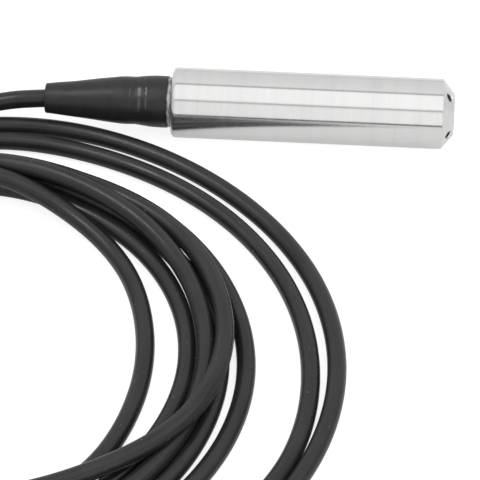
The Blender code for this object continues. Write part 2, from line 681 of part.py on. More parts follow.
def cable_gland(axis):
    """Washer, grommet, washer and nut, stacked in the stub's bore from its floor outwards."""
    radius = GLAND_BORE / 2 - FIT
    floor = STUB_END_X + GLAND_DEPTH - FIT
    turned("gland_washer_front", tube_profile(-WASHER_THICKNESS, 0.0, CABLE_BORE_RADIUS, radius),
           steel("washer_steel"), axis, floor)
    grommet = floor - WASHER_THICKNESS - FIT
    turned("gland_grommet", tube_profile(-GROMMET_LENGTH, 0.0, CABLE_BORE_RADIUS, radius),
           rubber("grommet_rubber"), axis, grommet)
    second = grommet - GROMMET_LENGTH - FIT
    turned("gland_washer_back", tube_profile(-WASHER_THICKNESS, 0.0, CABLE_BORE_RADIUS, radius),
           steel("washer_steel"), axis, second)
    gland_nut(axis, second - WASHER_THICKNESS - FIT, radius)


def gland_nut(axis, front, radius):
    """Threaded shank in the stub's bore and a six-sided head behind the stub."""
    shoulder = STUB_END_X - FIT - front
    shank = tube_profile(shoulder, 0.0, CABLE_BORE_RADIUS, radius)
    nut = turned("gland_nut", shank, steel("nut_steel"), axis, front)
    hexagon = tube_profile(shoulder - NUT_HEAD_LENGTH, shoulder + NUT_HEAD_SINK,
                           CABLE_BORE_RADIUS, NUT_HEAD_ACROSS_CORNERS / 2)
    head = add_object("nut_head", turned_mesh("nut_head", hexagon, 6), steel("nut_steel"), axis,
                      front)
    behind = shoulder - 2 * NUT_HEAD_LENGTH
    drill = [(behind, 0.0), (behind, CABLE_BORE_RADIUS), (NUT_HEAD_LENGTH, CABLE_BORE_RADIUS),
             (NUT_HEAD_LENGTH, 0.0)]
    bore = add_object("nut_bore", turned_mesh("nut_bore", drill, INNER_FACETS), steel("cutter"),
                      axis, front)
    hide_cutter(head)
    union = nut.modifiers.new("head", "BOOLEAN")
    union.operation = "UNION"
    union.solver = "EXACT"
    union.object = head
    cut(nut, bore)


def boot_outline():
    """Outer outline of the boot as (x, radius) from its end at the neck back to its mouth."""
    end = STUB_RADIUS + FIT + BOOT_WALL
    dip = BOOT_DIP_DIAMETER / 2
    swell = end + (dip - end) * BOOT_DIP_START
    outline = [
        (0.0, end), (-(STUB_LENGTH - STUB_TAPER_LENGTH), end),
        (-(STUB_LENGTH - STUB_TAPER_LENGTH / 2), swell),
        (-(STUB_LENGTH + BOOT_WALL), dip),
        (-(BOOT_LENGTH - BOOT_TAPER_LENGTH), BOOT_TAPER_DIAMETER / 2),
        (-(BOOT_LENGTH - BOOT_MOUTH_ROUND), BOOT_MOUTH_DIAMETER / 2),
    ]
    return outline


def radius_at(outline, x):
    """The radius of an outline at x, between its points."""
    ordered = sorted(outline)
    return float(np.interp(x, [p[0] for p in ordered], [p[1] for p in ordered]))


def heat_shrink_boot(axis):
    outer = boot_outline()
    outer += [(-BOOT_LENGTH, BOOT_MOUTH_DIAMETER / 2 - BOOT_MOUTH_ROUND)]
    inner = [(-BOOT_LENGTH, BOOT_MOUTH_DIAMETER / 2 - BOOT_WALL)]
    inner += [(x, radius - BOOT_WALL) for x, radius in boot_outline()[-2::-1]]
    turned("heat_shrink_boot", outer + inner, rubber("boot_rubber"), axis, BOOT_X, OUTER_FACETS)


def strain_relief_cone(axis):
    """Moulded rubber cone that fills the boot from the gland nut back to near its mouth."""
    front = STUB_END_X - FIT - NUT_HEAD_LENGTH - FIT - BOOT_X
    back = -BOOT_LENGTH + CONE_SETBACK
    middle = -(BOOT_LENGTH - BOOT_TAPER_LENGTH)
    gap = BOOT_WALL + FIT
    places = [front] + [middle] * (back < middle < front) + [back]
    profile = [(x, radius_at(boot_outline(), x) - gap) for x in places]
    profile += [(back, CABLE_BORE_RADIUS), (front, CABLE_BORE_RADIUS)]
    turned("strain_relief_cone", profile, rubber("cone_rubber"), axis, BOOT_X)


def adhesive_bead(axis):
    """Squeezed-out adhesive in the groove between the boot and the body."""
    inner = NECK_DIAMETER / 2 + SEAT_GAP
    back = -NECK_LENGTH + SEAT_GAP
    front = -SEAT_GAP
    middle = (back + front) / 2
    edge = inner + BEAD_EDGE_HEIGHT
    profile = [(back, inner), (back, edge), (middle, inner + BEAD_HEIGHT), (front, edge),
               (front, inner)]
    turned("adhesive_bead", profile, plastic("adhesive_clear", (0.8, 0.8, 0.78)), axis, TAIL_X)


def cable_entry(axis):
    """The cable where it runs through the cone, the gland and the tail fitting."""
    profile = [(LEAD_START + FIT, 0.0), (LEAD_START + FIT, CABLE_RADIUS), (ENTRY_X, CABLE_RADIUS),
               (ENTRY_X, 0.0)]
    turned("cable_entry", profile, rubber("cable_jacket"), axis, 0.0)


def inner_wires():
    """Two cores to the terminal block and the vent tube forward to the capsule's back."""
    start = ENTRY_X + FIT
    lift = AXIS_HEIGHT + BOARD_TOP + FIT
    pitch = TERMINAL_SIZE[1] / TERMINAL_WAYS
    for name, side, colour in (("supply_wire", 1, (0.6, 0.03, 0.03)),
                               ("signal_wire", -1, (0.02, 0.02, 0.02))):
        near = (start, side * CORE_OFFSET, AXIS_HEIGHT - WIRE_DIAMETER)
        ahead = (start + WIRE_DIAMETER, *near[1:])
        end = (TERMINAL_BACK_X, side * pitch, lift + TERMINAL_SIZE[2] / 2)
        before = (TERMINAL_BACK_X - WIRE_DIAMETER, *end[1:])
        points = smooth_line([near, ahead, before, end], WIRE_DIAMETER)
        wire(name, points, WIRE_DIAMETER, plastic(name + "_skin", colour))
    tallest = max(CAPACITOR_HEIGHT, TRIMMER_SIZE[2], TERMINAL_SIZE[2])
    above = lift + tallest + VENT_TUBE_DIAMETER
    near = (start, 0.0, AXIS_HEIGHT + VENT_TUBE_DIAMETER / 2)
    ahead = (start + VENT_TUBE_DIAMETER, *near[1:])
    over_terminal = [(TERMINAL_BACK_X, 0.0, above), (TERMINAL_BACK_X + TERMINAL_SIZE[0], 0.0, above)]
    over_board = [(BOARD_X, 0.0, above), (SPIGOT_END_X, 0.0, above)]
    points = smooth_line([near, ahead, *over_terminal, *over_board], VENT_TUBE_DIAMETER)
    wire("vent_tube", points, VENT_TUBE_DIAMETER, plastic("vent_tube_clear", (0.85, 0.85, 0.82)))


def cable():
    """The free cable: its lead, the two parts of its coil and its tail."""
    jacket = rubber("cable_jacket")
    line = smooth_line(cable_route(), ROUTE_STEP)
    line[:, 2] = np.maximum(line[:, 2], CABLE_RADIUS)
    bearings, radii = polar(line)
    lead = line[bearings < LEAD_END_BEARING - math.degrees(FIT / radii.max())]
    wire("cable_lead", thin_out(lead, LEAD_POINT_SPACING), CABLE_DIAMETER, jacket, resolution=4)
    join = FIRST_TURN_BEARING + 360.0 * OUTER_RING_TURNS
    outer = ring_outline(bearings, radii, LEAD_END_BEARING + STEP_FACE_DEGREES,
                         join - RING_JOIN_DEGREES)
    coil_solid("cable_coil_outer", outer, CABLE_DIAMETER, jacket)
    end = FIRST_TURN_BEARING + 360.0 * len(COIL_TURNS) - TAIL_SETS_OFF_DEGREES
    inner = ring_outline(bearings, radii, join, end)
    height = line[:, 2].max() + CABLE_RADIUS
    coil_solid("cable_coil_inner", inner, height, jacket)
    side_bearings, side_radii = polar(outer_side(line))
    wall = np.interp(side_bearings, OUTLINE_BEARINGS, inner[1], period=360.0)
    wall += COIL_DRAFT * line[:, 2] / height
    last_quarter = bearings > end - QUARTER_TURN
    tail = line[last_quarter & (side_radii < wall - FIT)]
    points = thin_out(tail, TAIL_POINT_SPACING)
    wire("cable_tail", points, CABLE_DIAMETER, jacket, resolution=4)
    return points


def thin_out(line, spacing):
    """Keeps points of a fine line about one spacing apart, with both ends."""
    length = np.linalg.norm(np.diff(line, axis=0), axis=1).sum()
    count = max(3, round(length / spacing) + 1)
    picks = np.linspace(0, len(line) - 1, count).round().astype(int)
    return [tuple(line[i]) for i in picks]


def free_end(points):
    """Two bare cores with ferrules and the vent tube, spread from the cut end of the cable."""
    tip = Vector(points[-1])
    ahead = (tip - Vector(points[-2])).normalized()
    ahead.z = 0.0
    side = Vector((-ahead.y, ahead.x, 0.0))
    start = tip + ahead * FIT
    tinned = material("ferrule_tin", (0.75, 0.75, 0.76), 0.3, 1.0)
    for name, way, colour in (("lead_red", 1, (0.6, 0.03, 0.03)), ("lead_black", -1, (0.02,) * 3)):
        near = start + side * way * CORE_OFFSET
        middle = near + ahead * LEAD_WIRE_LENGTH / 2 + side * way * WIRE_SPREAD / 2
        end = near + ahead * LEAD_WIRE_LENGTH + side * way * WIRE_SPREAD
        wire(name, [near, middle, end], WIRE_DIAMETER, plastic(name + "_skin", colour))
        along = (end - middle).normalized()
        foot = end + along * FIT
        wire(name + "_ferrule", [foot, foot + along * FERRULE_LENGTH], FERRULE_DIAMETER, tinned)
    vent = [start, start + ahead * VENT_END_LENGTH]
    wire("vent_tube_end", vent, VENT_TUBE_DIAMETER, plastic("vent_tube_clear", (0.85, 0.85, 0.82)))


def main():
    clear_scene()
    axis = bpy.data.objects.new("probe_axis", None)
    bpy.context.collection.objects.link(axis)
    axis.location = (0.0, 0.0, AXIS_HEIGHT)
    nose_cap(axis)
    nose_cap_seal(axis)
    sensor_housing(axis)
    housing_tube(axis)
    pressure_capsule(axis)
    capsule_ring(axis)
    header_pins(axis)
    sensor_ribbon(axis)
    board_sleeve(axis)
    circuit_board(axis)
    board_components(axis)
    terminal_block(axis)
    tail_fitting(axis)
    cable_gland(axis)
    heat_shrink_boot(axis)
    strain_relief_cone(axis)
    adhesive_bead(axis)
    cable_entry(axis)
    inner_wires()
    free_end(cable())


main()
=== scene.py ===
"""Looks of the submersible level transmitter: polished probe, shrunk boot and coiled vented cable.

The frame's solids say where everything is. Here the visible skins are modelled finely round them,
the cable is laid turn by turn, and every surface gets its own procedural finish. Metres, +Z up.
"""
import math

import bmesh
import bpy
import numpy as np
from mathutils import Matrix, Vector, noise

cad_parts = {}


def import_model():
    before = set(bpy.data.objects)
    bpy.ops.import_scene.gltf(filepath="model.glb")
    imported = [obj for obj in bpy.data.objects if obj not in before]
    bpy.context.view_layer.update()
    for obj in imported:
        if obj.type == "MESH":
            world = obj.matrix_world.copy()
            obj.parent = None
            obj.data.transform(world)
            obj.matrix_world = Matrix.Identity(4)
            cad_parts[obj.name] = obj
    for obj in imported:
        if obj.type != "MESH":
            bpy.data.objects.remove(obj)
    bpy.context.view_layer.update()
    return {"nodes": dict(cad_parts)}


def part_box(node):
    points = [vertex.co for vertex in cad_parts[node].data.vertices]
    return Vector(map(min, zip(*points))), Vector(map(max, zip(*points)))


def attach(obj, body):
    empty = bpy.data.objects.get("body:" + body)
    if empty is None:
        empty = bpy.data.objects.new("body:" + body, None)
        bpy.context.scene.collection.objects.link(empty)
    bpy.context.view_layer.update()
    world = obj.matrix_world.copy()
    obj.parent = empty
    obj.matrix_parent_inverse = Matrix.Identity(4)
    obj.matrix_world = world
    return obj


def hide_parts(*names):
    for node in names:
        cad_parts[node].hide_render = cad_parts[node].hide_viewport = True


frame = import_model()

# Camera, placed as the photograph was taken
CAMERA_PLACE = (0.04991, -0.85154, 0.85022)
CAMERA_ELEVATION = 47.0
CAMERA_AZIMUTH = 3.6
CAMERA_LENS = 225.0
CAMERA_SENSOR = 36.0

# Places along the probe, from the frame
TAIL_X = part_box("housing_tube")[0][0]
TUBE_FRONT_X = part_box("housing_tube")[1][0]
CAP_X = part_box("nose_cap")[0][0]
NOSE_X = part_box("nose_cap")[1][0]
SPIGOT_FRONT_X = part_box("sensor_housing")[1][0]
SPIGOT_BACK_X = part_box("sensor_housing")[0][0]
BOOT_FRONT_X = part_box("heat_shrink_boot")[1][0]
BOOT_MOUTH_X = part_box("heat_shrink_boot")[0][0]
BODY_RADIUS = (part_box("housing_tube")[1][2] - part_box("housing_tube")[0][2]) / 2
AXIS_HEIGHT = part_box("housing_tube")[0][2] + BODY_RADIUS

# Steel body
BODY_SIDES = 256
SEAM_GAP = 0.00001
TUBE_BORE_RADIUS = 0.012
TAIL_HOLE_RADIUS = 0.0094
TAIL_LIP = 0.0025
TAIL_EDGE_RADIUS = 0.002
EDGE_BREAK = 0.00002
SHOULDER_BREAK = 0.00014
JOINT_RADIUS = 0.0117
CAPSULE_BORE_RADIUS = 0.0095
LIP_RADIUS = 0.0083
LIP_THICKNESS = 0.0015
SPIGOT_RADIUS = 0.0109
THREAD_PITCH = 0.0015
THREAD_TURNS = 3.6
THREAD_CREST_RADIUS = 0.01106
THREAD_RELIEF = 0.0012
THREAD_SINK = 0.00005
THREAD_STEPS = 96
SPIGOT_CHAMFER = 0.00012

# Nose cap
CAP_CONE_LENGTH = 0.0046
CAP_FACE_RADIUS = 0.00825
CAP_FACE_WALL = 0.003
CHAMBER_RADIUS = 0.0085
CAP_BORE_RADIUS = 0.0112
CAP_BORE_DEPTH = 0.0095
SEAL_RECESS_WIDTH = 0.002
SEAL_RECESS_RADIUS = 0.0126
INLET_COUNT = 4
INLET_RADIUS = 0.0016
INLET_RIM_RADIUS = 0.0022
INLET_RIM_DEPTH = 0.0006
INLET_ALONG_CONE = 0.42
INLET_TURN_DEGREES = 7.0
INLET_SIDES = 48
DRILL_REACH = 0.007
DRILL_CLEAR = 0.002
NEAR_AXIS = 0.00002

# Boot: its girth at distances from its mouth, read along the photographed outline
BOOT_GIRTHS = (
    (0.0000, 0.01188), (0.0118, 0.01438), (0.0237, 0.01737), (0.0290, 0.01856), (0.0322, 0.01900),
    (0.0357, 0.01895), (0.0397, 0.01985), (0.0425, 0.02045), (0.0491, 0.02055),
)
BOOT_SIDES = 180
BOOT_WALL = 0.0010
BOOT_LIP = 0.00042
BOOT_LIP_INSET = 0.00055
BOOT_OUTSIDE_START = 0.00035
BOOT_OUTSIDE_ROWS = 170
BOOT_INSIDE_END = 0.0008
BOOT_INSIDE_ROWS = 30
BOOT_RAGGED_END = 0.00022
BOOT_DROOP = 0.00075
BOOT_DROOP_START_X = -0.045
LEAD_DROOP_END_X = -0.0955
LEAD_DROOP_MIN_Y = -0.03
LEAD_DROOP_POINTS = 60

# Boot's creases as (distance from its mouth, depth), and the turn where they are deepest
CREASES = ((0.0378, 0.00011), (0.0402, 0.00013), (0.0345, 0.00005))
CREASE_WIDTH = 0.00038
CREASE_TURN_DEGREES = 38.0
DRAWN_FROM_MOUTH = 0.0385
DRAWN_WIDTH = 0.0042

# Boot's pale marks, partly scuffs and partly a painted highlight for the glints on its creases:
# their strength along a span from SCUFF_GLINT_X, and round the boot along one from SCUFF_GLINT_Y
SCUFF_GLINT_X = -0.050
SCUFF_GLINT_X_SPAN = 0.0125
SCUFFS_AND_GLINTS_ALONG = (
    (0.0, 0.0), (0.20, 0.0), (0.245, 0.2), (0.29, 0.0), (0.47, 0.0), (0.50, 0.8), (0.57, 0.8),
    (0.60, 0.0), (0.72, 0.0), (0.738, 1.0), (0.762, 1.0), (0.78, 0.0),
)
SCUFF_GLINT_Y = -0.010
SCUFF_GLINT_Y_SPAN = 0.010
SCUFFS_AND_GLINTS_ROUND = (
    (0.06, 0.0), (0.14, 0.42), (0.30, 0.38), (0.40, 0.12), (0.50, 1.0), (0.72, 1.0), (0.82, 0.0),
)

# Adhesive: its ring's place ahead of the boot's end, its half width and its radii
ADHESIVE_SIDES = 288
ADHESIVE_POINTS = 14
ADHESIVE_AHEAD = 0.00080
ADHESIVE_HALF_WIDTH = 0.00050
ADHESIVE_RADIUS = 0.01012
ADHESIVE_INNER_RADIUS = 0.0091
ADHESIVE_OVER_BOOT = 0.00006
ADHESIVE_LAP_REACH = 0.00012

# Cable: the route's own points, as the frame's cable solids follow them
CABLE_DIAMETER = 0.0072
CABLE_RADIUS = CABLE_DIAMETER / 2
LEAD_ROUTE = (
    (-0.0600, 0.0, 0.0140),
    (-0.0700, 0.0, 0.0140),
    (-0.0780, 0.0, 0.0140),
    (-0.0940, -0.0010, 0.0123),
    (-0.1090, -0.0020, 0.0092),
    (-0.1280, -0.0050, 0.0060),
    (-0.1502, -0.0119, 0.0039),
    (-0.1890, -0.0425, 0.0036),
    (-0.2124, -0.1250, 0.0036),
    (-0.1815, -0.2115, 0.0036),
)
COIL_CENTRE = (-0.100, -0.132)
COIL_BEARINGS = (-90, -45, -20, 0, 20, 45, 70, 90, 135, 180, 225)
COIL_TURNS = (
    (0.1175, 0.1290, 0.1373, 0.1404, 0.1386, 0.1325, 0.1278, 0.1248, 0.1144, 0.1046, 0.1062),
    (0.1100, 0.1212, 0.1303, 0.1308, 0.1280, 0.1223, 0.1177, 0.1163, 0.1071, 0.0975, 0.0991),
    (0.1010, 0.1034, 0.1059, 0.1068, 0.1058, 0.1040, 0.1028, 0.1046, 0.0993, 0.0898, 0.0914),
    (0.0937, 0.0955, 0.0964, 0.0970, 0.0968, 0.0948, 0.0956, 0.0976, 0.0922, 0.0827, 0.0843),
    (0.0865, 0.0900, 0.0908, 0.0918, 0.0923, 0.0927, 0.0923, 0.0932, 0.0875, 0.0777, 0.0773),
    (0.0795, 0.0813, 0.0824, 0.0844, 0.0860, 0.0874, 0.0890, 0.0912, 0.0850, 0.0727, 0.0702),
    (0.0728, 0.0719, 0.0688, 0.0686, 0.0710, 0.0774, 0.0833, 0.0863, 0.0780, 0.0657, 0.0634),
    (0.0662, 0.0772, 0.0912, 0.0977, 0.1003, 0.1004, 0.0972, 0.0976, 0.0940, 0.0862, 0.0690),
)
COIL_CLIMBS = {
    4: {-90: 0.0048, -45: 0.0080, -20: 0.0079, 0: 0.0080, 20: 0.0089, 45: 0.0110,
        70: 0.0148, 90: 0.0150, 135: 0.0120, 180: 0.0084},
    6: {45: 0.0036, 70: 0.0084, 90: 0.0156, 135: 0.0110},
    7: {-90: 0.0064, -45: 0.0112, -20: 0.0138, 0: 0.0128, 20: 0.0106, 45: 0.0094,
        70: 0.0100, 90: 0.0102, 135: 0.0097, 180: 0.0104, 225: 0.0112},
}
TAIL_ROUTE = (
    (-0.1340, -0.1834, 0.0116),
    (-0.1193, -0.1803, 0.0096),
    (-0.1072, -0.1715, 0.0064),
    (-0.1002, -0.1583, 0.0041),
    (-0.0985, -0.1434, 0.0036),
)
CABLE_STEP = 0.003
CABLE_SIDES = 30
JACKET_SWELL = 0.00002

# Free end of the cable
WIRE_DIAMETER = 0.0013
VENT_TUBE_DIAMETER = 0.0018
WIRE_SPREAD = 0.0042
LEAD_WIRE_LENGTH = 0.024
FERRULE_LENGTH = 0.006
FERRULE_DIAMETER = 0.0017
FERRULE_FLARE = 0.00012
FERRULE_TEETH = 0.00006
FERRULE_NOSE = 0.0003
VENT_END_LENGTH = 0.019
WIRE_DROOP = 0.0012
VENT_DROOP = 0.0004
STRAND_INSET = 0.002
STRAND_STEP = 0.0008
FILLER_OUTLINE = (
    (-0.0020, 0.0026), (0.00025, 0.0026), (0.0004, 0.0024), (0.00048, 0.0012), (0.00048, 0.00002),
)
FIT = 0.0003
RED_SKIN = (0.55, 0.02, 0.02)
BLACK_SKIN = (0.02, 0.02, 0.021)
CLEAR_SKIN = (0.82, 0.82, 0.78)

# Floor: its matt white, and what it gives off besides, to the camera and in reflections
FLOOR_WHITE = 0.45
FLOOR_LIFT_CAMERA = 0.80
FLOOR_WHITE_GLOSS = 0.62
FLOOR_LIFT_GLOSS = 0.34
FLOOR_HALF = 6.0

# Surroundings, the long cards and the lamp
WORLD_GREY = 0.62
CARD_HALF_LENGTH = 2.5
CARD_REACH = 0.16
SIDE_LAMP_X = -0.745
SIDE_LAMP_DISTANCE = 1.7
SIDE_LAMP_DEGREES = 83.0
SIDE_LAMP_SIZE = (0.81, 0.53)
SIDE_LAMP_ENERGY = 9.6
SIDE_LAMP_AIM = (-0.10, -0.05, 0.0)


# Meshes

def new_object(name, vertices, faces, smooth_degrees=30.0):
    mesh = bpy.data.meshes.new(name)
    mesh.from_pydata([tuple(v) for v in vertices], [], faces)
    bm = bmesh.new()
    bm.from_mesh(mesh)
    if bm.calc_volume(signed=True) < 0.0:
        bmesh.ops.reverse_faces(bm, faces=bm.faces)
    bm.to_mesh(mesh)
    bm.free()
    mesh.shade_smooth()
    mesh.set_sharp_from_angle(angle=math.radians(smooth_degrees))
    ob = bpy.data.objects.new(name, mesh)
    bpy.context.collection.objects.link(ob)
    return ob


def grid_faces(rows, columns, closed_rows):
    """Quads of a grid whose columns wrap round, and whose rows do too where they are closed."""
    faces = []
    last = rows if closed_rows else rows - 1
    for i in range(last):
        here, there = i * columns, (i + 1) % rows * columns
        for j in range(columns):
            k = (j + 1) % columns
            faces.append((here + j, here + k, there + k, there + j))
    return faces


def skin(name, grid, closed_rows=False, caps=False, smooth_degrees=30.0):
    """A surface through a grid of points (rows, columns, 3) whose columns wrap round."""
    rows, columns = grid.shape[:2]
    faces = grid_faces(rows, columns, closed_rows)
    if caps:
        faces.append(tuple(range(columns))[::-1])
        faces.append(tuple(range((rows - 1) * columns, rows * columns)))
    return new_object(name, grid.reshape(-1, 3), faces, smooth_degrees)


def turned_grid(outline, segments):
    """Points of an outline of (x, radius) turned about the probe's axis."""
    outline = np.array(outline)
    angles = np.linspace(0.0, 2 * math.pi, segments, endpoint=False)
    grid = np.empty((len(outline), segments, 3))
    grid[:, :, 0] = outline[:, :1]
    grid[:, :, 1] = -outline[:, 1:] * np.sin(angles)
    grid[:, :, 2] = AXIS_HEIGHT + outline[:, 1:] * np.cos(angles)
    return grid


def held_outline(corners, margin=0.00012):
    """Adds a point near both ends of each long run, so that smooth shading turns only there."""
    outline = []
    for here, there in zip(corners, corners[1:] + corners[:1]):
        run = Vector(there) - Vector(here)
        outline.append(tuple(here))
        if run.length > 4 * margin:
            step = run.normalized() * margin
            outline.append(tuple(Vector(here) + step))
            outline.append(tuple(Vector(there) - step))
    return outline


def turned_about(origin, ahead, outline, sides, ragged=0.0):
    """Points of an outline of (distance ahead, radius) turned about any axis."""
    side = ahead.cross(Vector((0.0, 0.0, 1.0))).normalized()
    up = side.cross(ahead)
    grid = np.empty((len(outline), sides, 3))
    for i, (along, radius) in enumerate(outline):
        for j in range(sides):
            angle = 2 * math.pi * j / sides
            place = Vector((math.cos(angle) * 3, math.sin(angle) * 3, i))
            out = (side * math.cos(angle) + up * math.sin(angle)) * radius
            grid[i, j] = origin + ahead * along + out * (1.0 + ragged * noise.noise(place))
    return grid


def arc(centre, radius, start, end, steps):
    """Points (x, radius) on an arc, with its angles in degrees from +x towards outwards."""
    points = []
    for i in range(steps + 1):
        angle = math.radians(start + (end - start) * i / steps)
        points.append((centre[0] + radius * math.cos(angle), centre[1] + radius * math.sin(angle)))
    return points


def smooth_line(points, spacing):
    """Points at an even spacing along a cubic spline through the given points."""
    points = np.array(points, dtype=float)
    chords = np.linalg.norm(np.diff(points, axis=0), axis=1)
    knots = np.concatenate([[0.0], np.cumsum(chords)])
    count = len(points)
    system = np.eye(count)
    target = np.zeros((count, points.shape[1]))
    for i in range(1, count - 1):
        before, after = chords[i - 1], chords[i]
        system[i, i - 1:i + 2] = (before, 2 * (before + after), after)
        target[i] = 6 * ((points[i + 1] - points[i]) / after - (points[i] - points[i - 1]) / before)
    bend = np.linalg.solve(system, target)
    places = np.linspace(0.0, knots[-1], max(2, round(knots[-1] / spacing) + 1))
    span = np.clip(np.searchsorted(knots, places, side="right") - 1, 0, count - 2)
    width = chords[span][:, None]
    left = (knots[span + 1] - places)[:, None]
    right = (places - knots[span])[:, None]
    line = (bend[span] * left ** 3 + bend[span + 1] * right ** 3) / (6 * width)
    line += (points[span] / width - bend[span] * width / 6) * left
    line += (points[span + 1] / width - bend[span + 1] * width / 6) * right
    return line


def tube(name, line, radii, sides):
    """A round tube along a line, with its turn kept level, and UVs in metres along and around."""
    line = np.asarray(line)
    heading = np.gradient(line, axis=0)
    heading /= np.linalg.norm(heading, axis=1)[:, None]
    level = np.cross(heading, (0.0, 0.0, 1.0))
    level /= np.linalg.norm(level, axis=1)[:, None]
    upward = np.cross(level, heading)
    angles = np.linspace(0.0, 2 * math.pi, sides, endpoint=False)
    across = np.cos(angles)[None, :, None] * level[:, None, :]
    across = across + np.sin(angles)[None, :, None] * upward[:, None, :]
    grid = line[:, None, :] + across * np.broadcast_to(radii, (len(line), sides))[:, :, None]
    ob = skin(name, grid, caps=True)
    along = np.concatenate([[0.0], np.cumsum(np.linalg.norm(np.diff(line, axis=0), axis=1))])
    around = np.mean(radii) * 2 * math.pi / sides
    layer = ob.data.uv_layers.new(name="along_and_around")
    for face in ob.data.polygons:
        at_seam = len(face.vertices) == 4 and {v % sides for v in face.vertices} == {0, sides - 1}
        for loop, vertex in zip(face.loop_indices, face.vertices):
            row, column = divmod(vertex, sides)
            if at_seam and column == 0:
                column = sides
            layer.data[loop].uv = (along[row], column * around)
    return ob


# Materials

def shader_of(name):
    mat = bpy.data.materials.new(name)
    mat.use_nodes = True
    return mat, mat.node_tree, mat.node_tree.nodes["Principled BSDF"]


def node(tree, kind, **inputs):
    made = tree.nodes.new(kind)
    for key, value in inputs.items():
        made.inputs[key.replace("_", " ")].default_value = value
    return made


def node_value(tree, operation, first, second):
    """A maths node between two sockets, or a socket and a number."""
    made = tree.nodes.new("ShaderNodeMath")
    made.operation = operation
    for socket, value in zip(made.inputs, (first, second)):
        if isinstance(value, float):
            socket.default_value = value
        else:
            tree.links.new(value, socket)
    return made.outputs["Value"]


def mapped(tree, scale, source="Object"):
    coordinates = tree.nodes.new("ShaderNodeTexCoord")
    mapping = node(tree, "ShaderNodeMapping", Scale=scale)
    tree.links.new(coordinates.outputs[source], mapping.inputs["Vector"])
    return mapping.outputs["Vector"]


def noise_at(tree, vector, scale, detail=3.0, roughness=0.5):
    made = node(tree, "ShaderNodeTexNoise", Scale=scale, Detail=detail, Roughness=roughness)
    tree.links.new(vector, made.inputs["Vector"])
    return made.outputs["Fac"]


def ramp(tree, value, stops):
    """A value or colour that follows stops of (position, grey or colour)."""
    made = tree.nodes.new("ShaderNodeValToRGB")
    made.color_ramp.elements[0].position = stops[0][0]
    made.color_ramp.elements[1].position = stops[-1][0]
    for place, _ in stops[1:-1]:
        made.color_ramp.elements.new(place)
    for element, (_, shade) in zip(made.color_ramp.elements, stops):
        colour = (shade,) * 3 if isinstance(shade, float) else shade
        element.color = (*colour, 1.0)
    tree.links.new(value, made.inputs["Fac"])
    return made.outputs["Color"]


def blended(tree, amount, base, colour):
    """A base colour that turns to one plain colour by an amount."""
    made = tree.nodes.new("ShaderNodeMix")
    made.data_type = "RGBA"
    tree.links.new(amount, made.inputs["Factor"])
    tree.links.new(base, made.inputs["A"])
    made.inputs["B"].default_value = (*colour, 1.0)
    return made.outputs["Result"]


def bump(tree, shader, height, strength, distance, under=None):
    made = node(tree, "ShaderNodeBump", Strength=strength, Distance=distance)
    tree.links.new(height, made.inputs["Height"])
    if under is not None:
        tree.links.new(under, made.inputs["Normal"])
    tree.links.new(made.outputs["Normal"], shader.inputs["Normal"])
    return made.outputs["Normal"]


def polished_steel(name, colour=0.65, roughness=0.06, streak=0.03):
    """Polished stainless steel with the fine rings that turning and polishing leave."""
    mat, tree, shader = shader_of(name)
    shader.inputs["Metallic"].default_value = 0.93
    rings = noise_at(tree, mapped(tree, (9000.0, 26.0, 26.0)), 1.0, 2.0)
    bands = noise_at(tree, mapped(tree, (210.0, 9.0, 9.0)), 1.0, 3.0)
    cloud = noise_at(tree, mapped(tree, (60.0, 60.0, 60.0)), 1.0, 4.0)
    shades = [(0.25, colour * 0.965), (0.5, (colour, colour, colour * 0.992)), (0.8, colour * 1.02)]
    tree.links.new(ramp(tree, bands, shades), shader.inputs["Base Color"])
    mixed = node_value(tree, "ADD", node_value(tree, "MULTIPLY", rings, 0.5), cloud)
    tree.links.new(ramp(tree, mixed, [(0.45, roughness), (1.05, roughness + streak)]),
                   shader.inputs["Roughness"])
    bump(tree, shader, rings, 1.0, 0.00004)
    return mat


def turned_steel(name):
    """Plain turned steel: coarser tool rings, more satin."""
    return polished_steel(name, 0.58, 0.2, 0.12)


def black_rubber(name, colour=0.03, roughness=0.5, grain=2600.0, source="Object", depth=0.00002):
    mat, tree, shader = shader_of(name)
    shader.inputs["Specular IOR Level"].default_value = 0.4
    fine = noise_at(tree, mapped(tree, (grain,) * 3, source), 1.0, 3.0)
    wide = noise_at(tree, mapped(tree, (70.0,) * 3, source), 1.0, 3.0)
    tree.links.new(ramp(tree, wide, [(0.3, (colour * 0.85,) * 3), (0.7, (colour * 1.15,) * 3)]),
                   shader.inputs["Base Color"])
    tree.links.new(ramp(tree, wide, [(0.3, roughness - 0.05), (0.7, roughness + 0.06)]),
                   shader.inputs["Roughness"])
    bump(tree, shader, fine, 0.25, depth)
    return mat


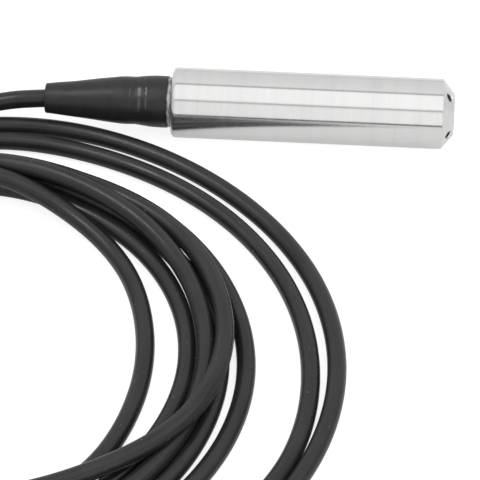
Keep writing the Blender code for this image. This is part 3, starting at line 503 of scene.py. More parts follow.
def cable_jacket(name):
    """Smooth extruded jacket: lines and grain along it, soft patches, and sparse specks of dust."""
    mat, tree, shader = shader_of(name)
    shader.inputs["IOR"].default_value = 1.39
    shader.inputs["Specular IOR Level"].default_value = 0.5
    lines = noise_at(tree, mapped(tree, (95.0, 1500.0, 1.0), "UV"), 1.0, 3.0)
    grain = noise_at(tree, mapped(tree, (3200.0, 3200.0, 3200.0)), 1.0, 3.0)
    wide = noise_at(tree, mapped(tree, (40.0, 160.0, 1.0), "UV"), 1.0, 4.0)
    specks = node(tree, "ShaderNodeTexVoronoi", Scale=1.0)
    tree.links.new(mapped(tree, (330.0, 330.0, 330.0)), specks.inputs["Vector"])
    dots = ramp(tree, specks.outputs["Distance"], [(0.045, 1.0), (0.10, 0.0)])
    chance = tree.nodes.new("ShaderNodeSeparateColor")
    tree.links.new(specks.outputs["Color"], chance.inputs["Color"])
    few = ramp(tree, chance.outputs["Red"], [(0.74, 0.0), (0.78, 1.0)])
    base = ramp(tree, wide, [(0.3, (0.0120, 0.0120, 0.0125)), (0.7, (0.022, 0.022, 0.0225))])
    dusty = blended(tree, node_value(tree, "MULTIPLY", dots, few), base, (0.15, 0.15, 0.145))
    tree.links.new(dusty, shader.inputs["Base Color"])
    mixed = node_value(tree, "MULTIPLY", node_value(tree, "ADD", lines, wide), 0.5)
    tree.links.new(ramp(tree, mixed, [(0.38, 0.19), (0.62, 0.39)]), shader.inputs["Roughness"])
    under = bump(tree, shader, lines, 0.5, 0.00004)
    bump(tree, shader, grain, 0.12, 0.00001, under)
    return mat


def boot_scuffs_and_painted_glints(tree):
    """Narrow pale marks across the tubing's upper front, 0 to 1: scuffs where it was drawn in, and in
    part a painted highlight for the glints on its creases.
    """
    place = tree.nodes.new("ShaderNodeSeparateXYZ")
    tree.links.new(mapped(tree, (1.0, 1.0, 1.0)), place.inputs["Vector"])
    rough = noise_at(tree, mapped(tree, (300.0, 900.0, 900.0)), 1.0, 3.0)
    shift = node_value(tree, "MULTIPLY", node_value(tree, "SUBTRACT", rough, 0.5), 0.0006)
    along = node_value(tree, "ADD", place.outputs["X"], shift)
    along = node_value(tree, "DIVIDE", node_value(tree, "SUBTRACT", along, SCUFF_GLINT_X), SCUFF_GLINT_X_SPAN)
    down = node_value(tree, "SUBTRACT", place.outputs["Y"], SCUFF_GLINT_Y)
    down = node_value(tree, "DIVIDE", down, SCUFF_GLINT_Y_SPAN)
    marks = node_value(tree, "MULTIPLY", ramp(tree, along, SCUFFS_AND_GLINTS_ALONG),
                       ramp(tree, down, SCUFFS_AND_GLINTS_ROUND))
    return node_value(tree, "MULTIPLY", marks, ramp(tree, rough, [(0.30, 0.45), (0.50, 1.0)]))


def boot_black(name):
    """Shrunk tubing: satin, slightly cloudy, with pale marks where it was drawn in: scuffs, and in
    part a painted highlight for the glints on its creases.
    """
    mat, tree, shader = shader_of(name)
    shader.inputs["IOR"].default_value = 1.38
    wide = noise_at(tree, mapped(tree, (240.0, 120.0, 120.0)), 1.0, 4.0)
    grain = noise_at(tree, mapped(tree, (2400.0, 2400.0, 2400.0)), 1.0, 3.0)
    drawn = noise_at(tree, mapped(tree, (90.0, 900.0, 900.0)), 1.0, 2.0)
    base = ramp(tree, wide, [(0.3, (0.0125, 0.0125, 0.013)), (0.7, (0.018, 0.018, 0.0185))])
    # pale marks on the upper front: scuffs, with a painted highlight for the creases' glints
    scuffed_and_glinting = blended(tree, boot_scuffs_and_painted_glints(tree), base, (0.15, 0.15, 0.152))
    tree.links.new(scuffed_and_glinting, shader.inputs["Base Color"])
    tree.links.new(ramp(tree, wide, [(0.3, 0.34), (0.7, 0.43)]), shader.inputs["Roughness"])
    under = bump(tree, shader, drawn, 0.14, 0.00004)
    bump(tree, shader, grain, 0.2, 0.000015, under)
    return mat


def clear_adhesive(name):
    mat, tree, shader = shader_of(name)
    shader.inputs["Transmission Weight"].default_value = 0.5
    shader.inputs["IOR"].default_value = 1.48
    wide = noise_at(tree, mapped(tree, (1900.0, 300.0, 300.0)), 1.0, 4.0)
    tree.links.new(ramp(tree, wide, [(0.40, (0.36, 0.36, 0.35)), (0.50, (1.0, 1.0, 0.99))]),
                   shader.inputs["Base Color"])
    tree.links.new(ramp(tree, wide, [(0.3, 0.08), (0.75, 0.26)]), shader.inputs["Roughness"])
    bump(tree, shader, wide, 0.8, 0.0004)
    return mat


def plain_plastic(name, colour, roughness=0.42, grain=1500.0, metallic=0.0):
    """A moulded or painted small part: cloudy colour, fine grain."""
    mat, tree, shader = shader_of(name)
    shader.inputs["Metallic"].default_value = metallic
    wide = noise_at(tree, mapped(tree, (320.0,) * 3), 1.0, 3.0)
    fine = noise_at(tree, mapped(tree, (grain,) * 3), 1.0, 3.0)
    low = tuple(part * 0.88 for part in colour)
    high = tuple(min(1.0, part * 1.1) for part in colour)
    tree.links.new(ramp(tree, wide, [(0.3, low), (0.7, high)]), shader.inputs["Base Color"])
    tree.links.new(ramp(tree, wide, [(0.3, roughness - 0.06), (0.7, roughness + 0.08)]),
                   shader.inputs["Roughness"])
    bump(tree, shader, fine, 0.2, 0.00001)
    return mat


def circuit_green(name):
    """Solder mask with copper tracks faintly raised under it."""
    mat, tree, shader = shader_of(name)
    tracks = tree.nodes.new("ShaderNodeTexBrick")
    tracks.inputs["Scale"].default_value = 1.0
    tracks.inputs["Mortar Size"].default_value = 0.035
    tracks.inputs["Color1"].default_value = (0.012, 0.12, 0.045, 1.0)
    tracks.inputs["Color2"].default_value = (0.016, 0.15, 0.055, 1.0)
    tracks.inputs["Mortar"].default_value = (0.035, 0.26, 0.10, 1.0)
    tree.links.new(mapped(tree, (420.0, 420.0, 420.0)), tracks.inputs["Vector"])
    tree.links.new(tracks.outputs["Color"], shader.inputs["Base Color"])
    cloud = noise_at(tree, mapped(tree, (600.0,) * 3), 1.0, 3.0)
    tree.links.new(ramp(tree, cloud, [(0.3, 0.22), (0.7, 0.36)]), shader.inputs["Roughness"])
    bump(tree, shader, tracks.outputs["Fac"], 0.3, 0.00003)
    return mat


def finish_piece(ob, mat, body, slot, *replaced):
    """Gives a piece its material, its body and the nodes that it stands for; slot is not used."""
    ob.data.materials.clear()
    ob.data.materials.append(mat)
    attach(ob, body)
    if replaced:
        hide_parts(*replaced)
    return ob


# Steel body

def tube_skin(mat):
    """The long tube: rounded tail edge, thin broken edge at the seam."""
    corners = [(TAIL_X, TAIL_HOLE_RADIUS)]
    corners += arc((TAIL_X + TAIL_EDGE_RADIUS, BODY_RADIUS - TAIL_EDGE_RADIUS), TAIL_EDGE_RADIUS,
                   180.0, 90.0, 12)
    corners += arc((TUBE_FRONT_X - EDGE_BREAK, BODY_RADIUS - EDGE_BREAK), EDGE_BREAK, 90.0, 0.0, 3)
    corners += [(TUBE_FRONT_X, TUBE_BORE_RADIUS), (TAIL_X + TAIL_LIP, TUBE_BORE_RADIUS),
                (TAIL_X + TAIL_LIP, TAIL_HOLE_RADIUS)]
    ob = skin("polished_tube", turned_grid(held_outline(corners), BODY_SIDES)[::-1],
              closed_rows=True)
    return finish_piece(ob, mat, "housing", "polished_steel", "housing_tube")


def collar_skin(mat):
    """The ring between the seams, its rear joint, and its front spigot with a relief groove."""
    back, front = TUBE_FRONT_X + SEAM_GAP, CAP_X - SEAM_GAP
    groove = SPIGOT_RADIUS - THREAD_RELIEF / 4
    lip = SPIGOT_FRONT_X - LIP_THICKNESS
    corners = arc((back + EDGE_BREAK, BODY_RADIUS - EDGE_BREAK), EDGE_BREAK, 180.0, 90.0, 3)
    corners += arc((front - EDGE_BREAK, BODY_RADIUS - EDGE_BREAK), EDGE_BREAK, 90.0, 0.0, 3)
    corners += [(front, groove), (front + THREAD_RELIEF, groove),
                (front + THREAD_RELIEF * 1.3, SPIGOT_RADIUS),
                (SPIGOT_FRONT_X - SPIGOT_CHAMFER, SPIGOT_RADIUS),
                (SPIGOT_FRONT_X, SPIGOT_RADIUS - SPIGOT_CHAMFER), (SPIGOT_FRONT_X, LIP_RADIUS),
                (lip, LIP_RADIUS), (lip, CAPSULE_BORE_RADIUS), (SPIGOT_BACK_X, CAPSULE_BORE_RADIUS),
                (SPIGOT_BACK_X, JOINT_RADIUS), (back, JOINT_RADIUS)]
    ob = skin("collar", turned_grid(held_outline(corners), BODY_SIDES)[::-1], closed_rows=True)
    return finish_piece(ob, mat, "housing", "polished_steel", "sensor_housing")


def collar_thread(mat):
    """The spigot's screw thread: one ridge wound round it, fading out at both ends."""
    start = CAP_X + THREAD_RELIEF * 1.6
    count = int(THREAD_TURNS * THREAD_STEPS)
    root = SPIGOT_RADIUS - THREAD_SINK
    grid = np.empty((count + 1, 4, 3))
    for i in range(count + 1):
        angle = 2 * math.pi * i / THREAD_STEPS
        fade = min(1.0, 3.0 * i / THREAD_STEPS, 3.0 * (count - i) / THREAD_STEPS)
        crest = SPIGOT_RADIUS + (THREAD_CREST_RADIUS - SPIGOT_RADIUS) * fade
        x = start + THREAD_PITCH * i / THREAD_STEPS
        section = ((-0.42, root), (-0.14, crest), (0.14, crest), (0.42, root))
        for j, (offset, radius) in enumerate(section):
            grid[i, j] = (x + offset * THREAD_PITCH, radius * math.sin(angle),
                          AXIS_HEIGHT + radius * math.cos(angle))
    ob = skin("collar_thread", grid, caps=True)
    return finish_piece(ob, mat, "housing", "polished_steel")


def cap_outline():
    """Outline of the nose cap, from the inside of its end wall round to the outside."""
    cone_start = NOSE_X - CAP_CONE_LENGTH
    wall = NOSE_X - CAP_FACE_WALL
    bore_end = CAP_X + CAP_BORE_DEPTH
    recess_end = CAP_X + SEAL_RECESS_WIDTH
    corners = [(wall, NEAR_AXIS), (wall, CHAMBER_RADIUS), (bore_end, CHAMBER_RADIUS),
               (bore_end, CAP_BORE_RADIUS), (recess_end, CAP_BORE_RADIUS),
               (recess_end, SEAL_RECESS_RADIUS), (CAP_X, SEAL_RECESS_RADIUS)]
    corners += arc((CAP_X + EDGE_BREAK, BODY_RADIUS - EDGE_BREAK), EDGE_BREAK, 180.0, 90.0, 3)
    corners += rounded_corner((CAP_X, BODY_RADIUS), (cone_start, BODY_RADIUS),
                              (NOSE_X, CAP_FACE_RADIUS), SHOULDER_BREAK)
    corners += rounded_corner((cone_start, BODY_RADIUS), (NOSE_X, CAP_FACE_RADIUS), (NOSE_X, 0.0),
                              SHOULDER_BREAK)
    corners.append((NOSE_X, NEAR_AXIS))
    return corners


def rounded_corner(before, corner, after, setback, steps=4):
    """Points that round a corner off, starting and ending one setback from it."""
    here = Vector(corner)
    first = here + (Vector(before) - here).normalized() * setback
    last = here + (Vector(after) - here).normalized() * setback
    points = []
    for i in range(steps + 1):
        t = i / steps
        points.append(tuple(first * (1 - t) ** 2 + here * 2 * t * (1 - t) + last * t ** 2))
    return points


def cap_skin(mat):
    """The nose cap with its four countersunk inlets, drilled square to the cone."""
    outline = held_outline(cap_outline())[:-2]
    ob = skin("screw_cap", turned_grid(outline, BODY_SIDES)[::-1], caps=True)
    drill_inlets(ob)
    true_normals(ob)
    return finish_piece(ob, mat, "nose_cap", "polished_steel", "nose_cap")


def drill_inlets(ob):
    """Cuts the inlets with drills that stand square on the cone."""
    slant = Vector((-CAP_CONE_LENGTH, 0.0, BODY_RADIUS - CAP_FACE_RADIUS))
    outward = Vector((slant.z, 0.0, -slant.x)).normalized()
    start = Vector((NOSE_X, 0.0, CAP_FACE_RADIUS)) + INLET_ALONG_CONE * slant
    flare = (INLET_RIM_RADIUS - INLET_RADIUS) / INLET_RIM_DEPTH
    outline = ((-DRILL_REACH, INLET_RADIUS), (-INLET_RIM_DEPTH, INLET_RADIUS),
               (0.0, INLET_RIM_RADIUS), (DRILL_CLEAR, INLET_RIM_RADIUS + flare * DRILL_CLEAR))
    grid = turned_grid(outline, INLET_SIDES)
    grid[:, :, 2] -= AXIS_HEIGHT
    turn = Vector((1, 0, 0)).rotation_difference(outward).to_matrix().to_4x4()
    for number in range(INLET_COUNT):
        around = math.radians(INLET_TURN_DEGREES) + 2 * math.pi * number / INLET_COUNT
        drill = skin("drill", grid[::-1], caps=True)
        place = Matrix.Translation((0.0, 0.0, AXIS_HEIGHT)) @ Matrix.Rotation(around, 4, "X")
        drill.data.transform(place @ Matrix.Translation(start) @ turn)
        cut = ob.modifiers.new("cut", "BOOLEAN")
        cut.object = drill
        cut.solver = "EXACT"
        apply_modifiers(ob)
        bpy.data.objects.remove(drill, do_unlink=True)
    ob.data.shade_smooth()
    ob.data.set_sharp_from_angle(angle=math.radians(30.0))


def apply_modifiers(ob):
    """Bakes an object's modifiers into its own mesh."""
    evaluated = ob.evaluated_get(bpy.context.evaluated_depsgraph_get())
    mesh = bpy.data.meshes.new_from_object(evaluated)
    ob.modifiers.clear()
    old = ob.data
    ob.data = mesh
    mesh.name = ob.name
    bpy.data.meshes.remove(old)


def true_normals(ob):
    """Gives the cap's cylinder and cone their exact normals, which the drilling had disturbed."""
    mesh = ob.data
    cone = Vector((BODY_RADIUS - CAP_FACE_RADIUS, CAP_CONE_LENGTH)).normalized()
    normals = [corner.vector.copy() for corner in mesh.corner_normals]
    for face in mesh.polygons:
        radial = radial_at(face.center)
        outward = face.normal.dot(radial)
        on_cone = abs(face.normal.x - cone.x) < 0.004 and abs(outward - cone.y) < 0.01
        on_cylinder = abs(face.normal.x) < 0.004 and outward > 0.99
        if not on_cone and not on_cylinder:
            continue
        for loop in face.loop_indices:
            radial = radial_at(mesh.vertices[mesh.loops[loop].vertex_index].co)
            if on_cone:
                normals[loop] = Vector((cone.x, radial.y * cone.y, radial.z * cone.y))
            else:
                normals[loop] = radial
    mesh.normals_split_custom_set([tuple(n) for n in normals])


def radial_at(place):
    """The direction from the probe's axis to a place."""
    return Vector((0.0, place.y, place.z - AXIS_HEIGHT)).normalized()


# Boot and adhesive

def soft_step(value):
    value = np.clip(value, 0.0, 1.0)
    return value * value * (3 - 2 * value)


def droop_at(x):
    """How far the boot and the lead hang below the probe's axis."""
    down = soft_step((BOOT_DROOP_START_X - x) / (BOOT_DROOP_START_X - BOOT_MOUTH_X))
    back = soft_step((x - LEAD_DROOP_END_X) / (BOOT_MOUTH_X - LEAD_DROOP_END_X))
    return BOOT_DROOP * np.where(x > BOOT_MOUTH_X, down, back)


def girth_at(distance):
    """The boot's outer radius at a distance from its mouth."""
    curve = smooth_line(BOOT_GIRTHS, 0.0002)
    return float(np.interp(distance, curve[:, 0], curve[:, 1])) / 2


def boot_rows():
    """The boot's section as (x, radius), and the row where its outside ends."""
    length = BOOT_FRONT_X - BOOT_MOUTH_X
    mouth = girth_at(0.0)
    rows = [(BOOT_MOUTH_X, mouth - BOOT_WALL), (BOOT_MOUTH_X, mouth - BOOT_LIP_INSET)]
    for x, rise in arc((BOOT_MOUTH_X + BOOT_LIP, 0.0), BOOT_LIP, 180.0, 100.0, 5)[1:-1]:
        rows.append((x, mouth - BOOT_LIP + rise))
    for distance in np.linspace(BOOT_OUTSIDE_START, length, BOOT_OUTSIDE_ROWS):
        rows.append((BOOT_MOUTH_X + distance, girth_at(distance)))
    end_row = len(rows) - 1
    for distance in np.linspace(length, BOOT_INSIDE_END, BOOT_INSIDE_ROWS):
        rows.append((BOOT_MOUTH_X + distance, girth_at(distance) - BOOT_WALL))
    return rows, end_row


def boot_skin(mat):
    """The shrunk boot: measured taper, a waist, drawn creases, a soft mouth and an uneven end."""
    rows, end_row = boot_rows()
    grid = turned_grid(rows, BOOT_SIDES)
    for i, (x, _) in enumerate(rows):
        for j in range(BOOT_SIDES):
            angle = 2 * math.pi * j / BOOT_SIDES
            if i <= end_row:
                outward = np.array((-math.sin(angle), math.cos(angle)))
                grid[i, j, 1:] += outward * boot_relief(x - BOOT_MOUTH_X, angle)
            if abs(i - end_row) <= 1:
                place = Vector((math.cos(angle) * 2.2, math.sin(angle) * 2.2, 4.0))
                grid[i, j, 0] += BOOT_RAGGED_END * noise.noise(place)
        grid[i, :, 2] -= float(droop_at(np.array(x)))
    ob = skin("shrunk_boot", grid[::-1], closed_rows=True, smooth_degrees=50.0)
    return finish_piece(ob, mat, "housing", "boot_black", "heat_shrink_boot")


def boot_relief(distance, angle):
    """Small swells and creases of the shrunk tubing, in metres outwards."""
    ring = Vector((math.cos(angle), math.sin(angle), 0.0))

    def swell(height, along, around):
        return height * noise.noise(Vector((distance * along, ring.x * around, ring.y * around)))

    drawn = math.exp(-((distance - DRAWN_FROM_MOUTH) / DRAWN_WIDTH) ** 2)
    height = swell(0.00010, 90.0, 1.6) + swell(0.00004, 260.0, 4.0)
    height += drawn * swell(0.00011, 900.0, 2.4)
    facing = max(0.0, math.cos(angle - math.radians(CREASE_TURN_DEGREES)))
    for crease, depth in CREASES:
        height += depth * math.exp(-((distance - crease) / CREASE_WIDTH) ** 2) * facing ** 6
    return height


def adhesive_skin(mat):
    """Clear adhesive squeezed out round the neck, uneven and lapping over the boot's end."""
    over_boot = girth_at(BOOT_GIRTHS[-1][0]) + ADHESIVE_OVER_BOOT
    grid = np.empty((ADHESIVE_POINTS, ADHESIVE_SIDES, 3))
    for j in range(ADHESIVE_SIDES):
        angle = 2 * math.pi * j / ADHESIVE_SIDES
        ring = Vector((math.cos(angle), math.sin(angle), 0.0))
        slow = noise.noise(ring * 1.7 + Vector((3.1, 0.4, 7.7)))
        quick = noise.noise(ring * 6.5 + Vector((1.3, 5.2, 2.9)))
        lap = max(0.0, 0.3 + 0.9 * noise.noise(ring * 2.6 + Vector((9.0, 1.0, 0.0))))
        middle = BOOT_FRONT_X + ADHESIVE_AHEAD - 0.00022 * lap + 0.00010 * quick
        half_width = ADHESIVE_HALF_WIDTH + 0.00024 * lap + 0.00008 * slow
        outer = ADHESIVE_RADIUS + 0.00022 * slow + 0.00012 * quick
        for i in range(ADHESIVE_POINTS):
            turn = 2 * math.pi * i / ADHESIVE_POINTS
            x = middle + half_width * math.cos(turn)
            radius = (outer + ADHESIVE_INNER_RADIUS) / 2
            radius += (outer - ADHESIVE_INNER_RADIUS) / 2 * math.sin(turn)
            if x < BOOT_FRONT_X + ADHESIVE_LAP_REACH:
                radius = max(radius, over_boot)
            grid[i, j] = (x, -radius * math.sin(angle), AXIS_HEIGHT + radius * math.cos(angle))
    ob = skin("adhesive_ring", grid, closed_rows=True, smooth_degrees=60.0)
    return finish_piece(ob, mat, "housing", "clear_adhesive", "adhesive_bead")


# Cable

def cable_line():
    """The cable's centreline: lead, eight turns counter-clockwise, then the tail."""
    route = list(LEAD_ROUTE)
    for number, radii in enumerate(COIL_TURNS):
        climbs = COIL_CLIMBS.get(number, {})
        for bearing, radius in zip(COIL_BEARINGS, radii):
            angle = math.radians(bearing)
            x = COIL_CENTRE[0] + radius * math.cos(angle)
            y = COIL_CENTRE[1] + radius * math.sin(angle)
            route.append((x, y, climbs.get(bearing, CABLE_RADIUS)))
    line = smooth_line(route + list(TAIL_ROUTE), CABLE_STEP)
    lead = (line[:, 1] > LEAD_DROOP_MIN_Y) & (line[:, 0] < BOOT_DROOP_START_X)
    lead &= np.arange(len(line)) < LEAD_DROOP_POINTS
    line[lead, 2] -= droop_at(line[lead, 0])
    line[:, 2] = np.maximum(line[:, 2], CABLE_RADIUS)
    return line


def lay_cable(mat):
    """The whole cable as one tube, with its centreline."""
    line = cable_line()
    radii = np.empty((len(line), CABLE_SIDES))
    for i in range(len(line)):
        swell = JACKET_SWELL * noise.noise(Vector((i * CABLE_STEP * 18.0, 0.0, 0.0)))
        radii[i] = CABLE_RADIUS + swell
    ob = tube("vented_cable", line, radii, CABLE_SIDES)
    finish_piece(ob, mat, "housing", "cable_jacket", "cable_lead", "cable_coil_outer",
                 "cable_coil_inner", "cable_tail")
    return ob, line


def free_end(line):
    """Cut end of the cable: filler, two cores with crimped ferrules, and the breather tube."""
    tip = Vector(line[-1])
    ahead = tip - Vector(line[-2])
    ahead.z = 0.0
    ahead.normalize()
    pieces = [core_filler(tip, ahead)]
    offset = (WIRE_DIAMETER + VENT_TUBE_DIAMETER) / 2 + FIT
    tin = plain_plastic("tinned_copper", (0.78, 0.78, 0.79), 0.24, 2500.0, 1.0)
    for name, way, colour in (("red", 1, RED_SKIN), ("black", -1, BLACK_SKIN)):
        wire_line = strand_line(tip, ahead, (0.0, 0.12, 0.35, 0.6, 0.82, 1.0), LEAD_WIRE_LENGTH,
                                WIRE_DROOP, way * offset, way * WIRE_SPREAD)
        wire = tube(f"core_{name}", wire_line, WIRE_DIAMETER / 2, 20)
        finish_piece(wire, plain_plastic(f"core_{name}_skin", colour, 0.3), "housing",
                     f"wire_{name}", f"lead_{name}")
        end, before = Vector(wire_line[-1]), Vector(wire_line[-4])
        sleeve = ferrule(f"ferrule_{name}", end, (end - before).normalized())
        finish_piece(sleeve, tin, "housing", "tinned_ferrule", f"lead_{name}_ferrule")
        pieces += [wire, sleeve]
    vent_line = strand_line(tip, ahead, (0.0, 0.3, 0.65, 1.0), VENT_END_LENGTH, VENT_DROOP)
    vent = tube("breather_tube", vent_line, VENT_TUBE_DIAMETER / 2, 24)
    finish_piece(vent, plain_plastic("breather_skin", CLEAR_SKIN, 0.3), "housing",
                 "vent_tube_clear", "vent_tube_end")
    return pieces + [vent]


def strand_line(tip, ahead, steps, length, droop, offset=0.0, spread=0.0):
    """Centreline of a strand, from a little inside the jacket to its end at the last step."""
    side = Vector((-ahead.y, ahead.x, 0.0))
    points = []
    for t in steps:
        along = (length + STRAND_INSET) * t - STRAND_INSET
        point = tip + ahead * along + side * (offset + spread * float(soft_step(t)))
        point.z = tip.z - droop * t * t
        points.append(tuple(point))
    return smooth_line(points, STRAND_STEP)


def core_filler(tip, ahead):
    """The pale filler that shows inside the jacket where it was cut."""
    ob = skin("core_filler", turned_about(tip, ahead, FILLER_OUTLINE, 36, 0.03), caps=True)
    return finish_piece(ob, plain_plastic("filler_white", (0.62, 0.62, 0.58), 0.6), "housing",
                        "vent_tube_clear")


def ferrule(name, start, ahead):
    """A crimped ferrule: flared collar, then a barrel pressed into small teeth."""
    outline = []
    for t in np.linspace(0.0, 1.0, 40):
        flare = FERRULE_FLARE * max(0.0, 1.0 - t * 9.0)
        teeth = FERRULE_TEETH * max(0.0, math.sin(t * 2 * math.pi * 5.5)) * (0.2 < t < 0.9)
        nose = FERRULE_NOSE * max(0.0, t - 0.93) / 0.07
        outline.append((FIT + FERRULE_LENGTH * t, FERRULE_DIAMETER / 2 + flare - teeth - nose))
    return skin(name, turned_about(start, ahead, outline, 28), caps=True)


# Inside parts keep their solids and get their finishes

def dress_nodes():
    steel = turned_steel("turned_steel")
    seal = black_rubber("seal_rubber", 0.022, 0.42)
    amber = plain_plastic("amber_film", (0.6, 0.36, 0.1), 0.3)
    chip = plain_plastic("chip_black", (0.03, 0.03, 0.032), 0.5)
    gold = plain_plastic("gold_pins", (0.9, 0.68, 0.3), 0.22, 2500.0, 1.0)
    blue = plain_plastic("trimmer_blue", (0.03, 0.12, 0.45))
    finishes = {
        "tail_fitting": steel, "pressure_capsule": steel, "capsule_ring": steel,
        "gland_washer_front": steel, "gland_washer_back": steel, "gland_nut": steel,
        "diaphragm": polished_steel("diaphragm_steel", 0.64, 0.16, 0.06),
        "nose_cap_seal": seal, "capsule_seal": seal, "tail_seal": seal, "gland_grommet": seal,
        "strain_relief_cone": black_rubber("cone_rubber", 0.03, 0.55),
        "board_sleeve": amber, "sensor_ribbon": amber,
        "circuit_board": circuit_green("board_green"),
        "amplifier_chip": chip, "current_loop_chip": chip,
        "filter_capacitor": plain_plastic("capacitor_can", (0.75, 0.75, 0.77), 0.28, 2500.0, 1.0),
        "zero_trimmer": blue, "span_trimmer": blue,
        "terminal_block": plain_plastic("terminal_green", (0.03, 0.3, 0.12)),
        "supply_wire": plain_plastic("supply_red", RED_SKIN, 0.3),
        "signal_wire": plain_plastic("signal_black", BLACK_SKIN, 0.3),
        "vent_tube": plain_plastic("vent_tube_clear", CLEAR_SKIN, 0.3),
        "cable_entry": black_rubber("entry_jacket", 0.03, 0.42),
    }
    for number in range(1, 6):
        finishes[f"header_pin_{number}"] = gold
    for name, mat in finishes.items():
        ob = frame["nodes"][name]
        ob.data.materials.clear()
        ob.data.materials.append(mat)
        ob.data.shade_smooth()
        ob.data.set_sharp_from_angle(angle=math.radians(32.0))


# Stage, light and camera

def emitter(name):
    """Light whose radiance follows the card's own corner values."""
    mat = bpy.data.materials.new(name)
    mat.use_nodes = True
    tree = mat.node_tree
    tree.nodes.clear()
    out = tree.nodes.new("ShaderNodeOutputMaterial")
    glow = node(tree, "ShaderNodeEmission", Color=(1.0, 1.0, 1.0, 1.0))
    value = tree.nodes.new("ShaderNodeAttribute")
    value.attribute_name = "glow"
    tree.links.new(value.outputs["Fac"], glow.inputs["Strength"])
    tree.links.new(glow.outputs["Emission"], out.inputs["Surface"])
    return mat


def card(name, low, high, left, right, rise=1.0):
    """A long softbox or reflector between two places (y, z).

    Its radiance runs from left to right across the middle, and is rise times that at its high edge.
    """
    places = (-CARD_HALF_LENGTH, -CARD_REACH, CARD_REACH, CARD_HALF_LENGTH)
    corners, glow = [], []
    for (y, z), factor in ((low, 1.0), (high, rise)):
        for x in places:
            corners.append((x, y, z))
            glow.append(factor * float(np.interp(x, (-CARD_REACH, CARD_REACH), (left, right))))
    count = len(places)
    faces = [(i, i + 1, i + 1 + count, i + count) for i in range(count - 1)]
    mesh = bpy.data.meshes.new(name)
    mesh.from_pydata(corners, [], faces)
    mesh.attributes.new("glow", "FLOAT", "POINT").data.foreach_set("value", glow)
    ob = bpy.data.objects.new(name, mesh)
    bpy.context.collection.objects.link(ob)
    mesh.materials.append(emitter(name))
    ob.visible_camera = False
    ob.visible_shadow = False


def on_arc(distance, degrees):
    """(y, z) at a distance from the probe, from the horizon on the camera's side upwards."""
    angle = math.radians(degrees)
    return -distance * math.cos(angle), AXIS_HEIGHT + distance * math.sin(angle)


def side_lamp(lit):
    """A softbox over the tail's side that lights only the given black pieces."""
    data = bpy.data.lights.new("side_lamp", "AREA")
    data.shape = "RECTANGLE"
    data.size, data.size_y = SIDE_LAMP_SIZE
    data.energy = SIDE_LAMP_ENERGY
    ob = bpy.data.objects.new("side_lamp", data)
    bpy.context.collection.objects.link(ob)
    ob.location = (SIDE_LAMP_X, *on_arc(SIDE_LAMP_DISTANCE, SIDE_LAMP_DEGREES))
    aim = Vector(SIDE_LAMP_AIM) - ob.location
    ob.rotation_euler = aim.to_track_quat("-Z", "Y").to_euler()
    group = bpy.data.collections.new("lit_from_the_side")
    for piece in lit:
        group.objects.link(piece)
    ob.light_linking.receiver_collection = group


def lights(black_pieces):
    card("horizon_strip", on_arc(1.95, 0.1), on_arc(1.95, 5.0), 0.04, 0.02)
    card("front_card", on_arc(1.9, 5.0), on_arc(2.1, 48.6), 0.97, 1.42)
    card("top_card", on_arc(1.9, 54.6), on_arc(1.9, 104.9), 1.22, 1.50)
    card("back_card", on_arc(2.1, 111.7), on_arc(2.1, 177.0), 1.04, 1.08, rise=0.83)
    side_lamp(black_pieces)


def world():
    scene_world = bpy.data.worlds.new("studio")
    bpy.context.scene.world = scene_world
    scene_world.use_nodes = True
    tree = scene_world.node_tree
    tree.nodes.clear()
    out = tree.nodes.new("ShaderNodeOutputWorld")
    grey = node(tree, "ShaderNodeBackground", Color=(WORLD_GREY,) * 3 + (1.0,), Strength=1.0)
    white = node(tree, "ShaderNodeBackground", Color=(1.0, 1.0, 1.0, 1.0), Strength=1.0)
    rays = tree.nodes.new("ShaderNodeLightPath")
    mix = tree.nodes.new("ShaderNodeMixShader")
    tree.links.new(rays.outputs["Is Camera Ray"], mix.inputs["Fac"])
    tree.links.new(grey.outputs["Background"], mix.inputs[1])
    tree.links.new(white.outputs["Background"], mix.inputs[2])
    tree.links.new(mix.outputs["Shader"], out.inputs["Surface"])


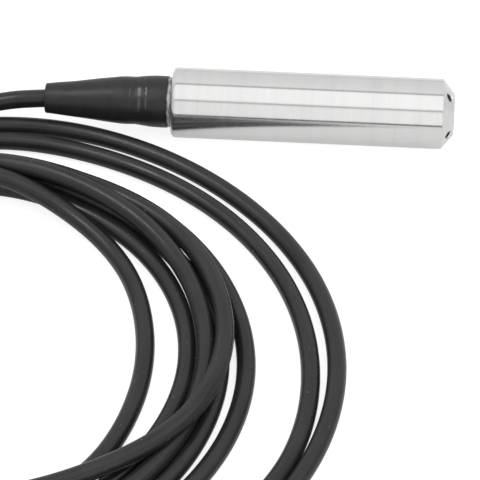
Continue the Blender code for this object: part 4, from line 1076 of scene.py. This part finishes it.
def floor():
    """White floor, lifted to pure white for the camera where no shadow falls."""
    mesh = bpy.data.meshes.new("floor")
    corners = [(x * FLOOR_HALF, y * FLOOR_HALF, 0.0) for x, y in ((-1, -1), (1, -1), (1, 1), (-1, 1))]
    mesh.from_pydata(corners, [], [(0, 1, 2, 3)])
    ob = bpy.data.objects.new("floor", mesh)
    bpy.context.collection.objects.link(ob)
    mat = bpy.data.materials.new("floor_white")
    mat.use_nodes = True
    tree = mat.node_tree
    tree.nodes.clear()
    out = tree.nodes.new("ShaderNodeOutputMaterial")
    matt = tree.nodes.new("ShaderNodeBsdfDiffuse")
    lift = node(tree, "ShaderNodeEmission", Color=(1.0, 1.0, 1.0, 1.0))
    rays = tree.nodes.new("ShaderNodeLightPath")
    for_camera = node_value(tree, "MULTIPLY", rays.outputs["Is Camera Ray"], FLOOR_LIFT_CAMERA)
    seen_in_gloss = node_value(tree, "MAXIMUM", rays.outputs["Is Glossy Ray"],
                               rays.outputs["Is Transmission Ray"])
    for_gloss = node_value(tree, "MULTIPLY", seen_in_gloss, FLOOR_LIFT_GLOSS)
    white = ramp(tree, seen_in_gloss, [(0.0, FLOOR_WHITE), (1.0, FLOOR_WHITE_GLOSS)])
    tree.links.new(white, matt.inputs["Color"])
    amount = node_value(tree, "MAXIMUM", for_camera, for_gloss)
    tree.links.new(amount, lift.inputs["Strength"])
    both = tree.nodes.new("ShaderNodeAddShader")
    tree.links.new(matt.outputs["BSDF"], both.inputs[0])
    tree.links.new(lift.outputs["Emission"], both.inputs[1])
    tree.links.new(both.outputs["Shader"], out.inputs["Surface"])
    mesh.materials.append(mat)


def camera():
    elevation, azimuth = math.radians(CAMERA_ELEVATION), math.radians(CAMERA_AZIMUTH)
    back = Vector((math.sin(azimuth) * math.cos(elevation), -math.cos(azimuth) * math.cos(elevation),
                   math.sin(elevation)))
    right = Vector((math.cos(azimuth), math.sin(azimuth), 0.0))
    up = back.cross(right)
    data = bpy.data.cameras.new("camera")
    data.lens = CAMERA_LENS
    data.sensor_width = CAMERA_SENSOR
    ob = bpy.data.objects.new("camera", data)
    bpy.context.collection.objects.link(ob)
    turn = Matrix((right, up, back)).transposed().to_4x4()
    ob.matrix_world = Matrix.Translation(CAMERA_PLACE) @ turn
    bpy.context.scene.camera = ob


def main():
    camera()
    cable, line = lay_cable(cable_jacket("cable_jacket"))
    ends = free_end(line)
    polished = polished_steel("polished_steel")
    tube_skin(polished)
    collar_skin(polished)
    collar_thread(polished)
    cap_skin(polished)
    boot = boot_skin(boot_black("boot_black"))
    adhesive_skin(clear_adhesive("clear_adhesive"))
    dress_nodes()
    floor()
    world()
    lights([cable, boot])
    bpy.context.scene.view_settings.view_transform = "Standard"


main()
